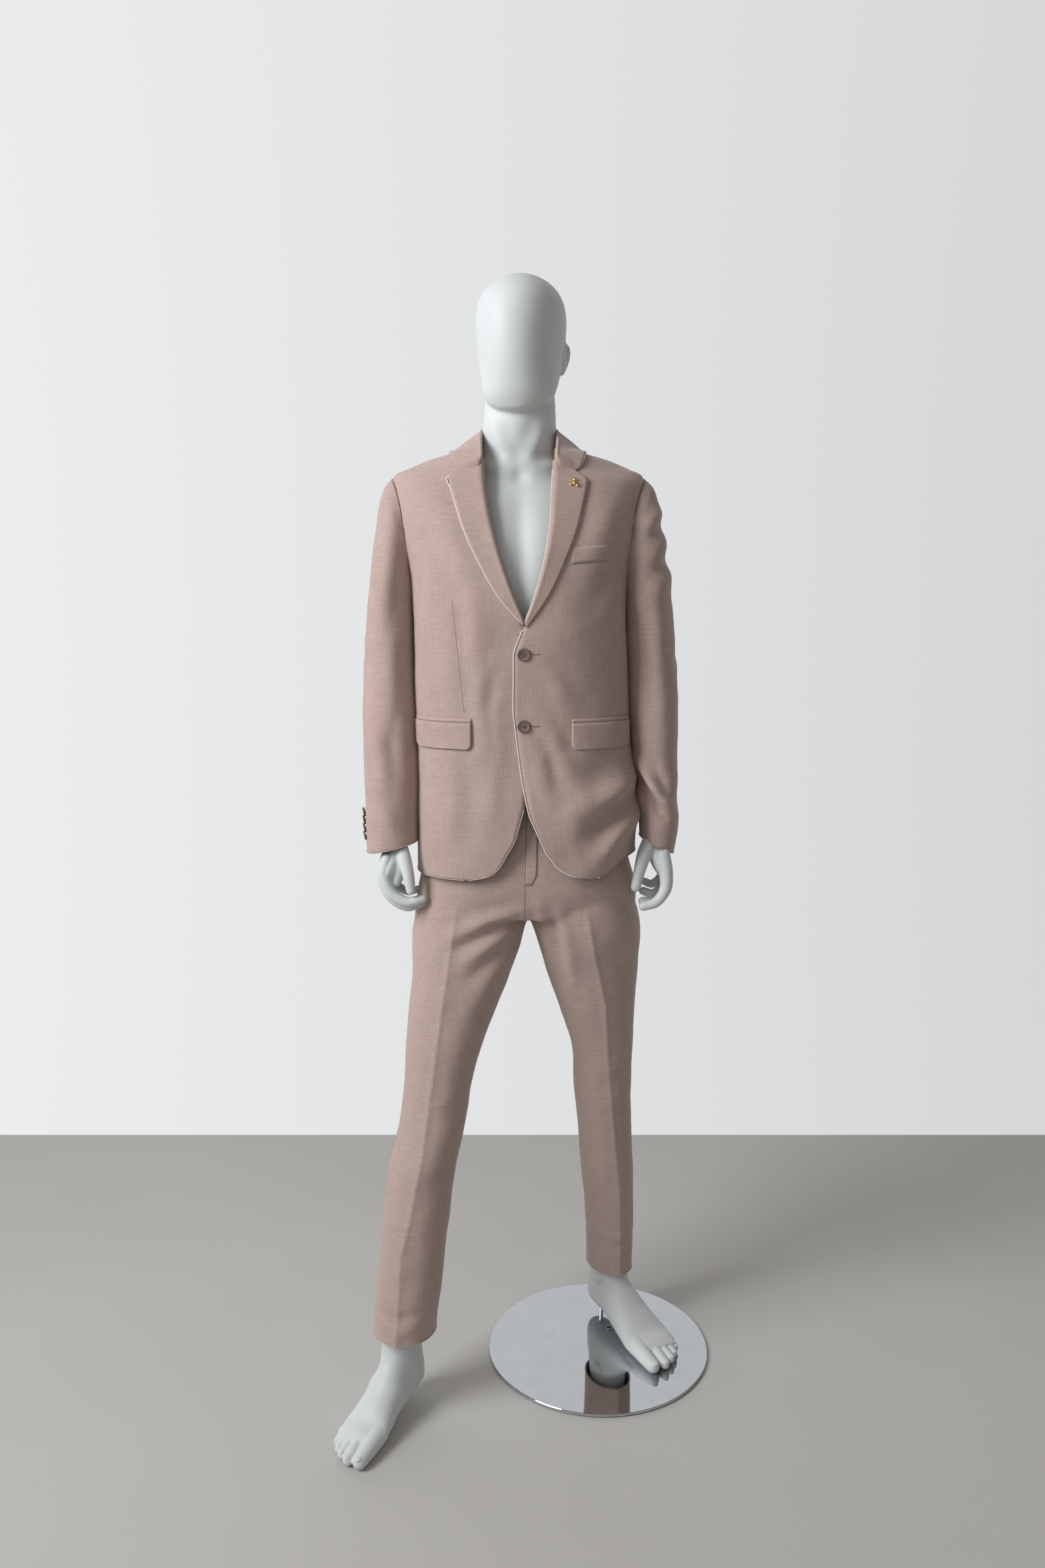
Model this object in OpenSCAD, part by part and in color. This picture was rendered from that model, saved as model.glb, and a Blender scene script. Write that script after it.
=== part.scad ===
// Full body display mannequin in a two-button suit, standing on a round mirror base plate.
// Origin: centre of the underside of the base, +Z up, the figure faces -Y.
// "left" and "right" are the figure's own, so its left is +X.

/* [Base] */
// Diameter of the round base plate
plate_d = 400; // [360:5:440]
// Thickness of the base plate
plate_t = 5; // [4:0.5:6]
// Thickness of the soft sheet under the plate
underlay_t = 1.5; // [1:0.5:2]
// Diameter of the spigot rod that holds the figure up
rod_d = 9; // [7:0.5:9.5]
// How much of the rod is inside the foot
rod_grip = 96; // [80:1:100]

/* [Stance] */
// How high the heel is held above the ground
heel_lift = 21; // [18:1:24]
// Length of a foot
foot_len = 250; // [240:1:260]
// How far the left foot is turned out
left_toe_out = 27; // [22:1:30]
// How far the right foot is turned out
right_toe_out = 22; // [18:1:26]

/* [Shells] */
// Wall of the moulded body shells
shell_t = 3; // [2.5:0.5:3.5]
// Thickness of the jacket cloth with its lining
coat_t = 3; // [2:0.5:3]
// Thickness of the sleeve and trouser cloth
cloth_t = 2; // [1.5:0.5:2]

/* [Fittings] */
// Radius of the shoulder studs
stud_r = 8; // [6:0.5:9]
// Radius of the waist peg
peg_r = 15; // [12:1:16]
// Radius of the wrist pegs
wrist_r = 6; // [5:0.5:7]
// Radial play of every peg in its socket
play = 0.06; // [0.03:0.01:0.09]

/* [Buttons] */
// Diameter of the front buttons
button_d = 20; // [18:0.5:22]
// Diameter of the cuff buttons
cuff_button_d = 15; // [13:0.5:16]

/* [Hidden] */
$fn = 48;

skin_colour = [0.86, 0.87, 0.87];
suit_colour = [0.66, 0.57, 0.53];
button_colour = [0.42, 0.32, 0.29];
horn_colour = [0.36, 0.25, 0.17];
steel_colour = [0.75, 0.76, 0.78];
mirror_colour = [0.82, 0.84, 0.86];
gold_colour = [0.83, 0.66, 0.3];
sheet_colour = [0.12, 0.12, 0.13];

mid_x = -146;                       // the figure's middle, left and right
ground = underlay_t + plate_t;      // top of the plate, where the left foot stands
seam_z = 1490;                      // height of the shoulder axis
seam_y = 5;
waist_z = 1100;                     // where the torso lifts off the hips
wrist_z = 985;                      // where the hands twist
left_wrist = [92, -30];
right_wrist = [-357, -38];
sides = 24;                         // corners of a body section

usual_lift = 21;                    // the heel lift that the foot's sections were drawn for

// A foot's heel-back point, and a place along it: s forward from the heel, h above its ground.
left_heel = [-2, 135];
right_heel = [-322, -112];
function on_foot(heel, turn, s, h) = [heel[0] + s * sin(turn), heel[1] - s * cos(turn), h];
rod_at = on_foot(left_heel, left_toe_out, 33, 0);
spare_at = on_foot(left_heel, left_toe_out, 64, 0);
rod_top = ground + heel_lift + rod_grip;

// ---------- lofted skins ----------
// A station is [x, y, z, turn, tilt, half width, half depth, squareness].
// Its section lies flat at tilt 0. At tilt 90 it stands upright and its front points up.
function bend(v, e) = sign(v) * pow(abs(v), e);
function front_of(s) = [sin(s[3]) * cos(s[4]), -cos(s[3]) * cos(s[4]), sin(s[4])];
function side_of(s) = [cos(s[3]), sin(s[3]), 0];
function section(s, inset, n) = [
    for (k = [0 : n - 1]) let (
        a = 360 * k / n,
        w = (s[5] - inset) * bend(cos(a), 2 / s[7]),
        d = (s[6] - inset) * bend(sin(a), 2 / s[7])
    ) [s[0], s[1], s[2]] + w * side_of(s) + d * front_of(s)
];
function middle(ring) = [for (i = [0 : 2]) [for (p = ring) p[i]] * [for (p = ring) 1] / len(ring)];
function quad(a, b, c, d) = [[a, b, c], [a, c, d]];
// The walls between rings that start at point number `at`, facing out, or in when flip is true.
function walls(at, rings, n, flip) = [
    for (r = [0 : rings - 2], k = [0 : n - 1]) let (
        a = at + r * n + k, b = at + r * n + (k + 1) % n,
        q = quad(a, b, b + n, a + n)
    ) for (t = q) flip ? [t[2], t[1], t[0]] : t
];
function fan(centre, at, n, up) = [
    for (k = [0 : n - 1]) let (a = at + k, b = at + (k + 1) % n)
        up ? [centre, a, b] : [centre, b, a]
];
function rim(outer, inner, n, up) = [
    for (k = [0 : n - 1]) let (j = (k + 1) % n, q = up
        ? quad(outer + k, outer + j, inner + j, inner + k)
        : quad(outer + j, outer + k, inner + k, inner + j)) for (t = q) t
];

// A solid through all the stations, closed at both ends.
module solid_loft(stations, n = sides) {
    outer = [for (s = stations) section(s, 0, n)];
    rings = len(outer);
    points = concat([for (r = outer) for (p = r) p], [middle(outer[0]), middle(outer[rings - 1])]);
    polyhedron(points, concat(
        walls(0, rings, n, false),
        fan(rings * n, 0, n, false),
        fan(rings * n + 1, (rings - 1) * n, n, true)));
}

// A hollow skin with a wall, open at the last station, and at the first one unless it is shut.
module skin(stations, wall, shut_first = false, shut_last = false, n = sides) {
    outer = [for (s = stations) section(s, 0, n)];
    rings = len(outer);
    first = shut_first ? 1 : 0;
    last = rings - 1 - (shut_last ? 1 : 0);
    inner = [for (i = [first : last]) section(stations[i], wall, n)];
    base = rings * n;
    holes = len(inner);
    ends = base + holes * n;
    points = concat(
        [for (r = outer) for (p = r) p], [for (r = inner) for (p = r) p],
        [middle(outer[0]), middle(inner[0]), middle(outer[rings - 1]), middle(inner[holes - 1])]);
    polyhedron(points, concat(
        walls(0, rings, n, false),
        walls(base, holes, n, true),
        shut_first ? concat(fan(ends, 0, n, false), fan(ends + 1, base, n, true))
            : rim(0, base, n, false),
        shut_last ? concat(fan(ends + 2, (rings - 1) * n, n, true),
                fan(ends + 3, base + (holes - 1) * n, n, false))
            : rim((rings - 1) * n, base + (holes - 1) * n, n, true)));
}

// ---------- cloth plates that lie on the front of a skin ----------
function at_height(stations, z, i) = lookup(z, [for (s = stations) [s[2], s[i]]]);
function front_y(stations, x, z, out) = let (
    w = at_height(stations, z, 5) + out,
    n = at_height(stations, z, 7),
    across = pow(min(1, abs(x - at_height(stations, z, 0)) / w), n)
) at_height(stations, z, 1) - (at_height(stations, z, 6) + out) * pow(1 - across, 1 / n);

// rows are [height, low x, high x] from the bottom up; gap is the space behind the plate.
module front_plate(stations, rows, gap, thick, cols = 4) {
    wide = cols + 1;
    count = len(rows) * wide;
    function spot(r, c, out) = let (x = r[1] + (r[2] - r[1]) * c / cols)
        [x, front_y(stations, x, r[0], out), r[0]];
    points = concat(
        [for (r = rows, c = [0 : cols]) spot(r, c, gap + thick)],
        [for (r = rows, c = [0 : cols]) spot(r, c, gap)]);
    top = (len(rows) - 1) * wide;
    faces = concat(
        [for (r = [0 : len(rows) - 2], c = [0 : cols - 1]) let (a = r * wide + c)
            for (t = quad(a, a + wide, a + wide + 1, a + 1)) t],
        [for (r = [0 : len(rows) - 2], c = [0 : cols - 1]) let (a = count + r * wide + c)
            for (t = quad(a, a + 1, a + wide + 1, a + wide)) t],
        [for (r = [0 : len(rows) - 2]) let (a = r * wide)
            for (t = quad(count + a, count + a + wide, a + wide, a)) t],
        [for (r = [0 : len(rows) - 2]) let (a = r * wide + cols)
            for (t = quad(a, a + wide, count + a + wide, count + a)) t],
        [for (c = [0 : cols - 1]) for (t = quad(c, c + 1, count + c + 1, count + c)) t],
        [for (c = [0 : cols - 1]) let (a = top + c)
            for (t = quad(a + 1, a, count + a, count + a + 1)) t]);
    polyhedron(points, faces);
}

// ---------- the body's sections ----------
// A leg from the toes, round the heel and up to the hip.
function foot_stations(heel, turn, low, upper) = concat(
    [for (f = [
        // s, height, tilt, half width, half depth
        [foot_len, 11, 90, 18, 6], [foot_len - 14, 13, 90, 36, 11], [foot_len - 44, 16, 90, 45, 15],
        [foot_len - 72, 19, 90, 47, 19], [152, 27, 72, 42, 25], [117, 40, 57, 38, 32],
        [90, 50, 47, 35, 41], [69, 54, 41, 33, 51], [52, 62, 35, 32, 58], [50, 77, 27, 32, 52],
        [51, 102, 22, 32, 43], [53, 133, 11, 31, 39]
    ]) concat(on_foot(heel, turn, f[0], low + f[1] + (f[0] < 80 ? heel_lift - usual_lift : 0)),
        [turn, f[2], f[3], f[4], 2.2])],
    upper);
left_leg = foot_stations(left_heel, left_toe_out, ground, [
    [23, 86, 180, 24, 0, 33, 41, 2], [24, 80, 230, 20, 0, 36, 46, 2],
    [17, 72, 330, 16, 0, 41, 54, 2], [13, 64, 400, 13, 0, 41, 54, 2],
    [3, 52, 500, 10, 0, 45, 51, 2], [1, 42, 570, 8, 0, 45, 54, 2],
    [-8, 32, 645, 5, 0, 57, 64, 2.2], [-24, 18, 742, 3, 0, 71, 78, 2.3],
    [-48, 8, 800, 0, 0, 76, 86, 2.4], [-60, 2, 841, 0, 0, 77, 88, 2.4],
    [-64, 2, 845, 0, 0, 77, 87, 2.4]
]);
right_leg = foot_stations(right_heel, -right_toe_out, 0.5, [
    [-342, -160, 180, -20, 0, 33, 41, 2], [-335, -149, 230, -17, 0, 38, 46, 2],
    [-321, -128, 330, -14, 0, 45, 54, 2], [-312, -112, 400, -12, 0, 47, 56, 2],
    [-290, -88, 500, -10, 0, 48, 53, 2], [-281, -70, 570, -8, 0, 50, 57, 2],
    [-268, -50, 645, -5, 0, 59, 66, 2.2], [-246, -26, 742, -3, 0, 74, 80, 2.3],
    [-237, -9, 800, 0, 0, 78, 86, 2.4], [-230, -2, 841, 0, 0, 77, 88, 2.4],
    [-228, -2, 845, 0, 0, 77, 87, 2.4]
]);
pelvis = [
    [-146, 0, 853, 0, 0, 158, 95, 2.5], [-146, 0, 857, 0, 0, 160, 97, 2.5],
    [-144, 1, 900, 0, 0, 162, 103, 2.5], [-142, 2, 960, 0, 0, 159, 104, 2.5],
    [-142, 1, 1020, 0, 0, 149, 100, 2.5], [-141, 0, 1060, 0, 0, 143, 96, 2.5],
    [-141, 0, waist_z - 1.5, 0, 0, 140, 95, 2.5]
];
torso = [
    [-141, 0, waist_z, 0, 0, 140, 95, 2.5], [-141, 0, 1150, 0, 0, 139, 95, 2.5],
    [-142, 0, 1220, 0, 0, 148, 102, 2.5], [-144, -2, 1300, 0, 0, 157, 113, 2.5],
    [-145, -3, 1380, 0, 0, 161, 118, 2.5], [-146, 0, 1440, 0, 0, 161, 112, 2.4],
    [-146, 4, 1490, 0, 0, 161, 98, 2.3], [-146, 8, 1530, 0, 0, 151, 84, 2.2],
    [-146, 12, 1560, 0, 0, 112, 70, 2], [-146, 14, 1580, 0, 0, 78, 64, 2],
    [-145, 13, 1605, 0, 0, 63, 61, 2], [-144, 8, 1650, 0, 0, 58, 60, 2],
    [-143, -8, 1668, 0, 0, 57, 76, 2], [-143, -12, 1690, 0, 0, 60, 90, 2.1],
    [-143, -12, 1720, 0, 0, 64, 96, 2.1], [-143, -9, 1760, 0, 0, 69, 98, 2.1],
    [-143, -6, 1800, 0, 0, 73, 98, 2.1], [-143, -4, 1840, 0, 0, 67, 88, 2],
    [-143, -2, 1865, 0, 0, 51, 67, 2], [-143, -1, 1880, 0, 0, 30, 40, 2],
    [-143, -1, 1887, 0, 0, 6, 8, 2]
];
// An arm from the wrist up, bending in to the shoulder seam. x is measured from the seam's side.
function arm(keys, turn, face_x) = concat(
    [for (k = keys) [k[0], k[1], k[2], turn, k[3], k[4], k[5], 2.1]],
    [[face_x, seam_y, seam_z, turn, 90, 54, 40, 2.1]]);
seam_x = 167.5;                     // from the middle to each arm's own face
right_seam = mid_x - seam_x;
left_seam = mid_x + seam_x;
right_arm = arm([
    [-357, -38, wrist_z, 0, 27, 20], [-360, -30, 1040, 0, 33, 28], [-363, -14, 1120, 0, 41, 35],
    [-365, 0, 1190, 0, 43, 36], [-365, 7, 1260, 0, 46, 35], [-363, 8, 1330, 0, 50, 33],
    [-361, 6, 1390, 0, 54, 28], [-362, 5, 1440, 10, 52, 21], [-344, 5, 1478, 35, 54, 33],
    [-330, 5, 1492, 70, 54, 40], [right_seam - 4, seam_y, seam_z, 90, 54, 40]
], -90, right_seam);
left_arm = arm([
    [92, -30, wrist_z, 0, 27, 20], [93, -24, 1040, 0, 31, 23], [90, -10, 1120, 0, 39, 28],
    [84, 2, 1190, 0, 42, 31], [80, 8, 1260, 0, 46, 31], [75, 8, 1330, 0, 50, 31],
    [72, 6, 1390, 0, 54, 26], [72, 5, 1440, 10, 46, 19], [54, 5, 1478, 35, 49, 31],
    [38, 5, 1492, 70, 54, 40], [left_seam + 4, seam_y, seam_z, 90, 54, 40]
], 90, left_seam);

// ---------- the suit's sections ----------
jacket = [
    [-132, -2, 914, 0, 0, 188, 130, 2.6], [-131, -2, 960, 0, 0, 189, 132, 2.6],
    [-130, -2, 1020, 0, 0, 190, 130, 2.6], [-134, -2, 1080, 0, 0, 186, 125, 2.5],
    [-137, -2, 1130, 0, 0, 183, 123, 2.5], [-140, -2, 1210, 0, 0, 181, 125, 2.5],
    [-142, -2, 1290, 0, 0, 179, 132, 2.5], [-144, -2, 1350, 0, 0, 177, 134, 2.5],
    [-145, -1, 1400, 0, 0, 180, 132, 2.5], [-145, 1, 1450, 0, 0, 189, 126, 2.4],
    [-146, 4, 1500, 0, 0, 199, 113, 2.3], [-146, 7, 1540, 0, 0, 207, 97, 2.2],
    [-146, 9, 1560, 0, 0, 206, 89, 2.1], [-146, 10, 1575, 0, 0, 170, 84, 2],
    [-146, 11, 1590, 0, 0, 126, 80, 2], [-146, 11, 1600, 0, 0, 98, 77, 2]
];
collar = [
    [-146, 11, 1601, 0, 0, 98, 77, 2], [-146, 12, 1618, 0, 0, 80, 74, 2],
    [-145, 12, 1634, 0, 0, 70, 70, 2], [-145, 12, 1646, 0, 0, 66, 68, 2]
];
function sleeve(keys) = [for (k = keys) [k[0], k[1], k[2], 0, 0, k[3], k[4], 2]];
right_sleeve_stations = sleeve([
    [-358, -36, 950, 40, 50], [-363, -24, 1050, 42, 56], [-364, -12, 1120, 42, 60],
    [-366, 0, 1200, 42, 64], [-366, 8, 1260, 42, 66], [-363, 8, 1330, 38.5, 69],
    [-362, 6, 1390, 34.5, 72], [-361.5, 6, 1440, 28, 74], [-361, 6, 1480, 20, 70],
    [-360.5, 6, 1510, 14, 60], [-361, 6, 1535, 9.5, 44], [-361, 6, 1550, 6, 25]
]);
left_sleeve_stations = sleeve([
    [91, -28, 950, 30, 48], [94.5, -18, 1050, 30.5, 54], [90.5, -8, 1120, 34.5, 58],
    [84, 2, 1200, 37, 62], [80.5, 8, 1260, 36.5, 65], [75, 8, 1330, 36, 68],
    [72, 6, 1390, 33.5, 71], [72.5, 6, 1440, 26.5, 73], [72, 6, 1480, 19, 69],
    [70.5, 6, 1510, 12, 58], [71, 6, 1535, 8.5, 42], [71, 6, 1550, 5.5, 22]
]);
seat = [
    [-132, -2, 819, 0, 0, 192, 112, 2.6], [-132, -1, 870, 0, 0, 187, 116, 2.6],
    [-133, 0, 914, 0, 0, 179, 118, 2.6], [-138, 1, 980, 0, 0, 168, 114, 2.5],
    [-141, 0, 1048, 0, 0, 152, 106, 2.5]
];
band = [[-141, 0, 1050, 0, 0, 153, 107, 2.5], [-141, 0, 1086, 0, 0, 151, 106, 2.5]];
trouser_left = [
    [25, 86, 112, 26, 0, 38, 52, 2.1], [24, 80, 230, 20, 0, 43, 54, 2.1],
    [17, 72, 330, 16, 0, 47, 60, 2.1], [13, 64, 400, 13, 0, 47.5, 61, 2.1],
    [3, 52, 500, 10, 0, 53, 60, 2.1], [1, 42, 570, 8, 0, 53, 62, 2.1],
    [-8, 32, 645, 5, 0, 64, 73, 2.3], [-21, 18, 742, 3, 0, 79, 88, 2.4],
    [-41, 6, 818, 0, 0, 100, 101, 2.5]
];
trouser_right = [
    [-340, -162, 138, -20, 0, 51, 56, 2.1], [-330, -150, 230, -17, 0, 54, 57, 2.1],
    [-320, -130, 330, -14, 0, 55.5, 62, 2.1], [-312, -112, 400, -12, 0, 57, 64, 2.1],
    [-290, -88, 500, -10, 0, 56.5, 62, 2.1], [-281, -70, 570, -8, 0, 60, 67, 2.1],
    [-268.5, -50, 645, -5, 0, 68.5, 76, 2.3], [-246, -26, 742, -3, 0, 83.5, 92, 2.4],
    [-239, -7, 818, 0, 0, 89, 101, 2.5]
];

// ---------- base ----------
module base_underlay() {
    color(sheet_colour) difference() {
        cylinder(h = underlay_t, d = plate_d - 6, $fn = 96);
        translate([rod_at[0], rod_at[1], -1]) cylinder(h = underlay_t + 2, r = 7);
    }
}

module base_plate() {
    edge = 0.8;
    color(mirror_colour) difference() {
        translate([0, 0, underlay_t]) rotate_extrude($fn = 96)
            polygon([[0, 0], [plate_d / 2 - edge, 0], [plate_d / 2, edge],
                [plate_d / 2, plate_t - edge], [plate_d / 2 - edge, plate_t], [0, plate_t]]);
        translate([rod_at[0], rod_at[1], 0]) cylinder(h = ground + 1, r = 2.6);
        translate([rod_at[0], rod_at[1], underlay_t - 0.01]) cylinder(h = 2.6, r1 = 5.2, r2 = 2.6);
    }
}

module base_spigot() {
    color(steel_colour) translate([rod_at[0], rod_at[1], ground]) rotate_extrude() polygon([
        [2.1, 0], [rod_d / 2, 0], [rod_d / 2, rod_top - ground - 1.5],
        [rod_d / 2 - 1.5, rod_top - ground], [0, rod_top - ground], [0, 16], [2.1, 15]]);
}

module spigot_screw() {
    color(steel_colour) translate([rod_at[0], rod_at[1], underlay_t]) rotate_extrude() polygon([
        [0, 0], [5, 0], [2.45, 2.55], [2.45, plate_t - 0.6], [1.95, plate_t - 0.1],
        [1.95, plate_t + 12], [0, plate_t + 13]]);
}

// ---------- moulded body ----------
module drill(at, r, low, high) {
    translate([at[0], at[1], low]) cylinder(h = high - low, r = r);
}

hip_at = [[mid_x + 82, 2], [mid_x - 82, -2]];
hip_hole_r = 17;
module pelvis_shell() {
    color(skin_colour) difference() {
        skin(pelvis, shell_t, shut_first = true);
        for (at = hip_at) drill(at, hip_hole_r, 840, 870);
    }
}

socket_r = 7;
module left_leg_shell() {
    color(skin_colour) difference() {
        skin(left_leg, shell_t, shut_first = true, n = 20);
        drill(rod_at, socket_r + 0.3, 0, 60);
        drill(spare_at, socket_r + 0.3, 0, 60);
    }
}

module right_leg_shell() {
    color(skin_colour) skin(right_leg, shell_t, shut_first = true, n = 20);
}

plate_r = 70;
hip_stud_r = 10;
module hip_plate(at) {
    color(steel_colour) translate([at[0], at[1], 850]) difference() {
        cylinder(h = 3, r = plate_r);
        translate([0, 0, -1]) cylinder(h = 5, r = hip_stud_r + play);
    }
}

module thigh_plate(at) {
    color(steel_colour) translate([at[0], at[1], 845]) rotate_extrude() polygon([
        [0, 0], [plate_r, 0], [plate_r, 3], [hip_stud_r, 3], [hip_stud_r, 10],
        [hip_stud_r + 4, 10], [hip_stud_r + 4, 13], [0, 13]]);
}

module foot_socket(at, low, top) {
    color(steel_colour) translate([at[0], at[1], low]) rotate_extrude() polygon([
        [rod_d / 2 + play, 0], [socket_r, 0], [socket_r, top - low + 4],
        [0, top - low + 4], [0, top - low], [rod_d / 2 + play, top - low]]);
}

plate_wide = 88;
module waist_socket_plate() {
    low = waist_z - 4.5;
    color(steel_colour) translate([mid_x + 5, 0, low]) rotate_extrude() polygon([
        [peg_r + play, -70], [peg_r + 4, -70], [peg_r + 4, 0], [plate_wide, 0],
        [plate_wide, 3], [peg_r + play, 3]]);
}

module waist_peg_plate() {
    color(steel_colour) translate([mid_x + 5, 0, waist_z]) rotate_extrude() polygon([
        [0, 3], [plate_wide, 3], [plate_wide, 0], [peg_r, 0], [peg_r, -60],
        [peg_r - 3, -65], [0, -65]]);
}

module torso_head_shell() {
    color(skin_colour) difference() {
        skin(torso, shell_t, shut_last = true);
        for (x = [mid_x - 190, mid_x + 130])
            translate([x, seam_y, seam_z]) rotate([0, 90, 0]) cylinder(h = 60, r = 15);
    }
}

// A shoulder's two plates face each other across the seam. way is -1 on the right, 1 on the left.
module shoulder_plate(way) {
    color(steel_colour) translate([mid_x + way * (seam_x - 6.2), seam_y, seam_z]) rotate([0, way * 90, 0])
        difference() {
            cylinder(h = 3, r = 34);
            translate([0, 0, -1]) cylinder(h = 5, r = stud_r + play);
        }
}

module arm_plate(way) {
    color(steel_colour) translate([mid_x + way * seam_x, seam_y, seam_z]) rotate([0, -way * 90, 0])
        rotate_extrude() polygon([
            [0, 0], [32, 0], [32, 2.8], [stud_r, 2.8], [stud_r, 10],
            [stud_r + 4, 10], [stud_r + 4, 13], [0, 13]]);
}

module arm_shell(stations) {
    color(skin_colour) skin(stations, shell_t, shut_last = true, n = 16);
}

module wrist_socket(at) {
    color(steel_colour) translate([at[0], at[1], wrist_z]) difference() {
        cylinder(h = 40, r = 16.4);
        translate([0, 0, -1]) cylinder(h = 42, r = wrist_r + play);
    }
}

module wrist_peg(at) {
    color(steel_colour) translate([at[0], at[1], wrist_z - 1]) rotate_extrude() polygon([
        [0, 0], [wrist_r, 0], [wrist_r, 34], [wrist_r - 1.5, 36], [0, 36]]);
}

// A relaxed hand that hangs from the wrist. way points from the palm to the back of the hand.
module hand(at, way) {
    inward = -way;
    color(skin_colour) translate([at[0], at[1], wrist_z - 1]) {
        solid_loft([
            [way * 2, -6, -98, 0, 8, 9, 36, 2.6], [way * 3, -6, -84, 0, 6, 13, 41, 2.6],
            [way * 2, -5, -55, 0, 4, 15, 40, 2.4], [way * 1, -3, -30, 0, 0, 16, 33, 2.2],
            [0, 0, -12, 0, 0, 17, 26, 2], [0, 0, 0, 0, 0, 18, 25, 2]], n = 16);
        for (f = [0 : 3]) {
            knuckle = [way * 3, -34 + f * 19, -92 + abs(f - 1) * 3];
            reach = [26, 28, 26, 21][f];
            joint_1 = knuckle + [-inward * -4, -4, -reach];
            tip = joint_1 + [inward * reach * 0.55, -3, -reach * 0.45];
            r = [9, 9.2, 8.8, 7.6][f];
            finger_part(knuckle, joint_1, r);
            finger_part(joint_1, tip, r - 1);
        }
        finger_part([0, -26, -34], [inward * 6, -44, -62], 10.5);
        finger_part([inward * 6, -44, -62], [inward * 11, -48, -96], 8.5);
    }
}

module finger_part(a, b, r) {
    hull() {
        translate(a) sphere(r = r, $fn = 14);
        translate(b) sphere(r = r - 1, $fn = 14);
    }
}

// ---------- suit ----------
armhole_r = 62;
module armhole(low_x, high_x) {
    translate([low_x, seam_y, seam_z]) rotate([0, 90, 0]) cylinder(h = high_x - low_x, r = armhole_r);
}

opening = [[-137, 1330], [-178, 1440], [-201, 1500], [-207, 1560], [-207, 1660],
    [-85, 1660], [-87, 1560], [-89, 1490], [-98, 1440]];
module front_opening() {
    rotate([90, 0, 0]) linear_extrude(height = 200) polygon(opening);
}

module jacket_body() {
    color(suit_colour) difference() {
        skin(jacket, coat_t, n = 28);
        armhole(mid_x - 260, mid_x - 160);
        armhole(mid_x + 160, mid_x + 260);
        front_opening();
    }
}

module jacket_collar() {
    color(suit_colour) difference() {
        skin(collar, coat_t);
        front_opening();
    }
}

lapel_gap = 2.2;
lapel_t = 2.4;
module left_lapel() {
    color(suit_colour) front_plate(jacket, [
        [1336, -131, -128], [1375, -112, -100], [1420, -99, -76], [1470, -91, -54],
        [1520, -87, -41], [1552, -86, -34], [1566, -85, -50]], lapel_gap, lapel_t);
}

module right_lapel() {
    color(suit_colour) front_plate(jacket, [
        [1336, -147, -143], [1375, -174, -160], [1420, -199, -175], [1470, -226, -194],
        [1520, -247, -206], [1550, -258, -210], [1566, -242, -210]], lapel_gap, lapel_t);
}

flap_top = 1172;
flap_h = 44;
module pocket_flap(low_x, high_x) {
    color(suit_colour) front_plate(jacket, [
        [flap_top - flap_h, low_x + 5, high_x - 5], [flap_top - flap_h + 5, low_x, high_x],
        [flap_top, low_x, high_x]], 1.4, 2, cols = 6);
}

module breast_welt() {
    color(suit_colour) front_plate(jacket, [
        [1412, -67, 2], [1436, -58, 8]], 1.4, 1.8, cols = 6);
}

module trouser_seat() {
    color(suit_colour) skin(seat, cloth_t, n = 28);
}

module waistband() {
    color(suit_colour) skin(band, cloth_t, n = 28);
}

module trouser_leg(stations) {
    color(suit_colour) skin(stations, cloth_t, n = 20);
}

module fly_placket() {
    color(suit_colour) front_plate(seat, [
        [835, -146, -136], [870, -146, -128], [914, -146, -127], [980, -146, -126],
        [1040, -146, -126]], 1.2, 1.6);
}

// A sewn-on button with a raised rim and four holes, its face along +Z.
module sewn_button(d) {
    difference() {
        rotate_extrude() polygon([
            [0, 0], [d / 2 - 1, 0], [d / 2, 1], [d / 2, 2.4], [d / 2 - 0.8, 3],
            [d / 2 - 2.4, 2.6], [d / 2 - 3.2, 1.9], [0, 1.9]]);
        for (x = [-1, 1], y = [-1, 1])
            translate([x * d / 11, y * d / 11, -1]) cylinder(h = 5, r = d / 20);
    }
}

front_button_z = [1282, 1167];
front_button_x = mid_x + 4;
module front_buttons() {
    color(button_colour) for (z = front_button_z)
        translate([front_button_x, front_y(jacket, front_button_x, z + button_d / 2, 0.6), z])
            rotate([90, 0, 0]) sewn_button(button_d);
}

lowest_cuff_button = 972;
behind_middle = 26;
module cuff_buttons(stations, way) {
    color(horn_colour) for (i = [0 : 3]) {
        z = lowest_cuff_button + i * (cuff_button_d + 1);
        across = behind_middle / at_height(stations, z, 6);
        out = at_height(stations, z, 5) * sqrt(1 - pow(across, 2)) + 0.8;
        translate([at_height(stations, z, 0) + way * out, at_height(stations, z, 1) + behind_middle, z])
            rotate([0, way * 90, way * 22]) sewn_button(cuff_button_d);
    }
}

// The pin's own place on the left lapel, square to the cloth there. out is how far from the jacket.
pin_at = [-50, 1541];
pin_turn = 12;
pin_lean = 22;
module on_lapel(out) {
    translate([pin_at[0], front_y(jacket, pin_at[0], pin_at[1], 0), pin_at[1]])
        rotate([90 - pin_lean, 0, pin_turn]) translate([0, 0, out]) children();
}

module lapel_pin() {
    lobe_ring = 5.5;
    color(gold_colour) on_lapel(lapel_gap + lapel_t + 1.6) {
        cylinder(h = 2, r = 4);
        translate([0, 0, 1]) sphere(r = 3.2);
        for (a = [30, 150, 270])
            rotate([0, 0, a]) translate([lobe_ring, 0, 0]) cylinder(h = 1.6, r = 2.6);
    }
}

module pin_clutch() {
    color(gold_colour) on_lapel(-coat_t - 4.4) difference() {
        cylinder(h = 3, r = 4);
        translate([0, 0, -0.01]) cylinder(h = 2, r = 2.8);
    }
}

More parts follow.
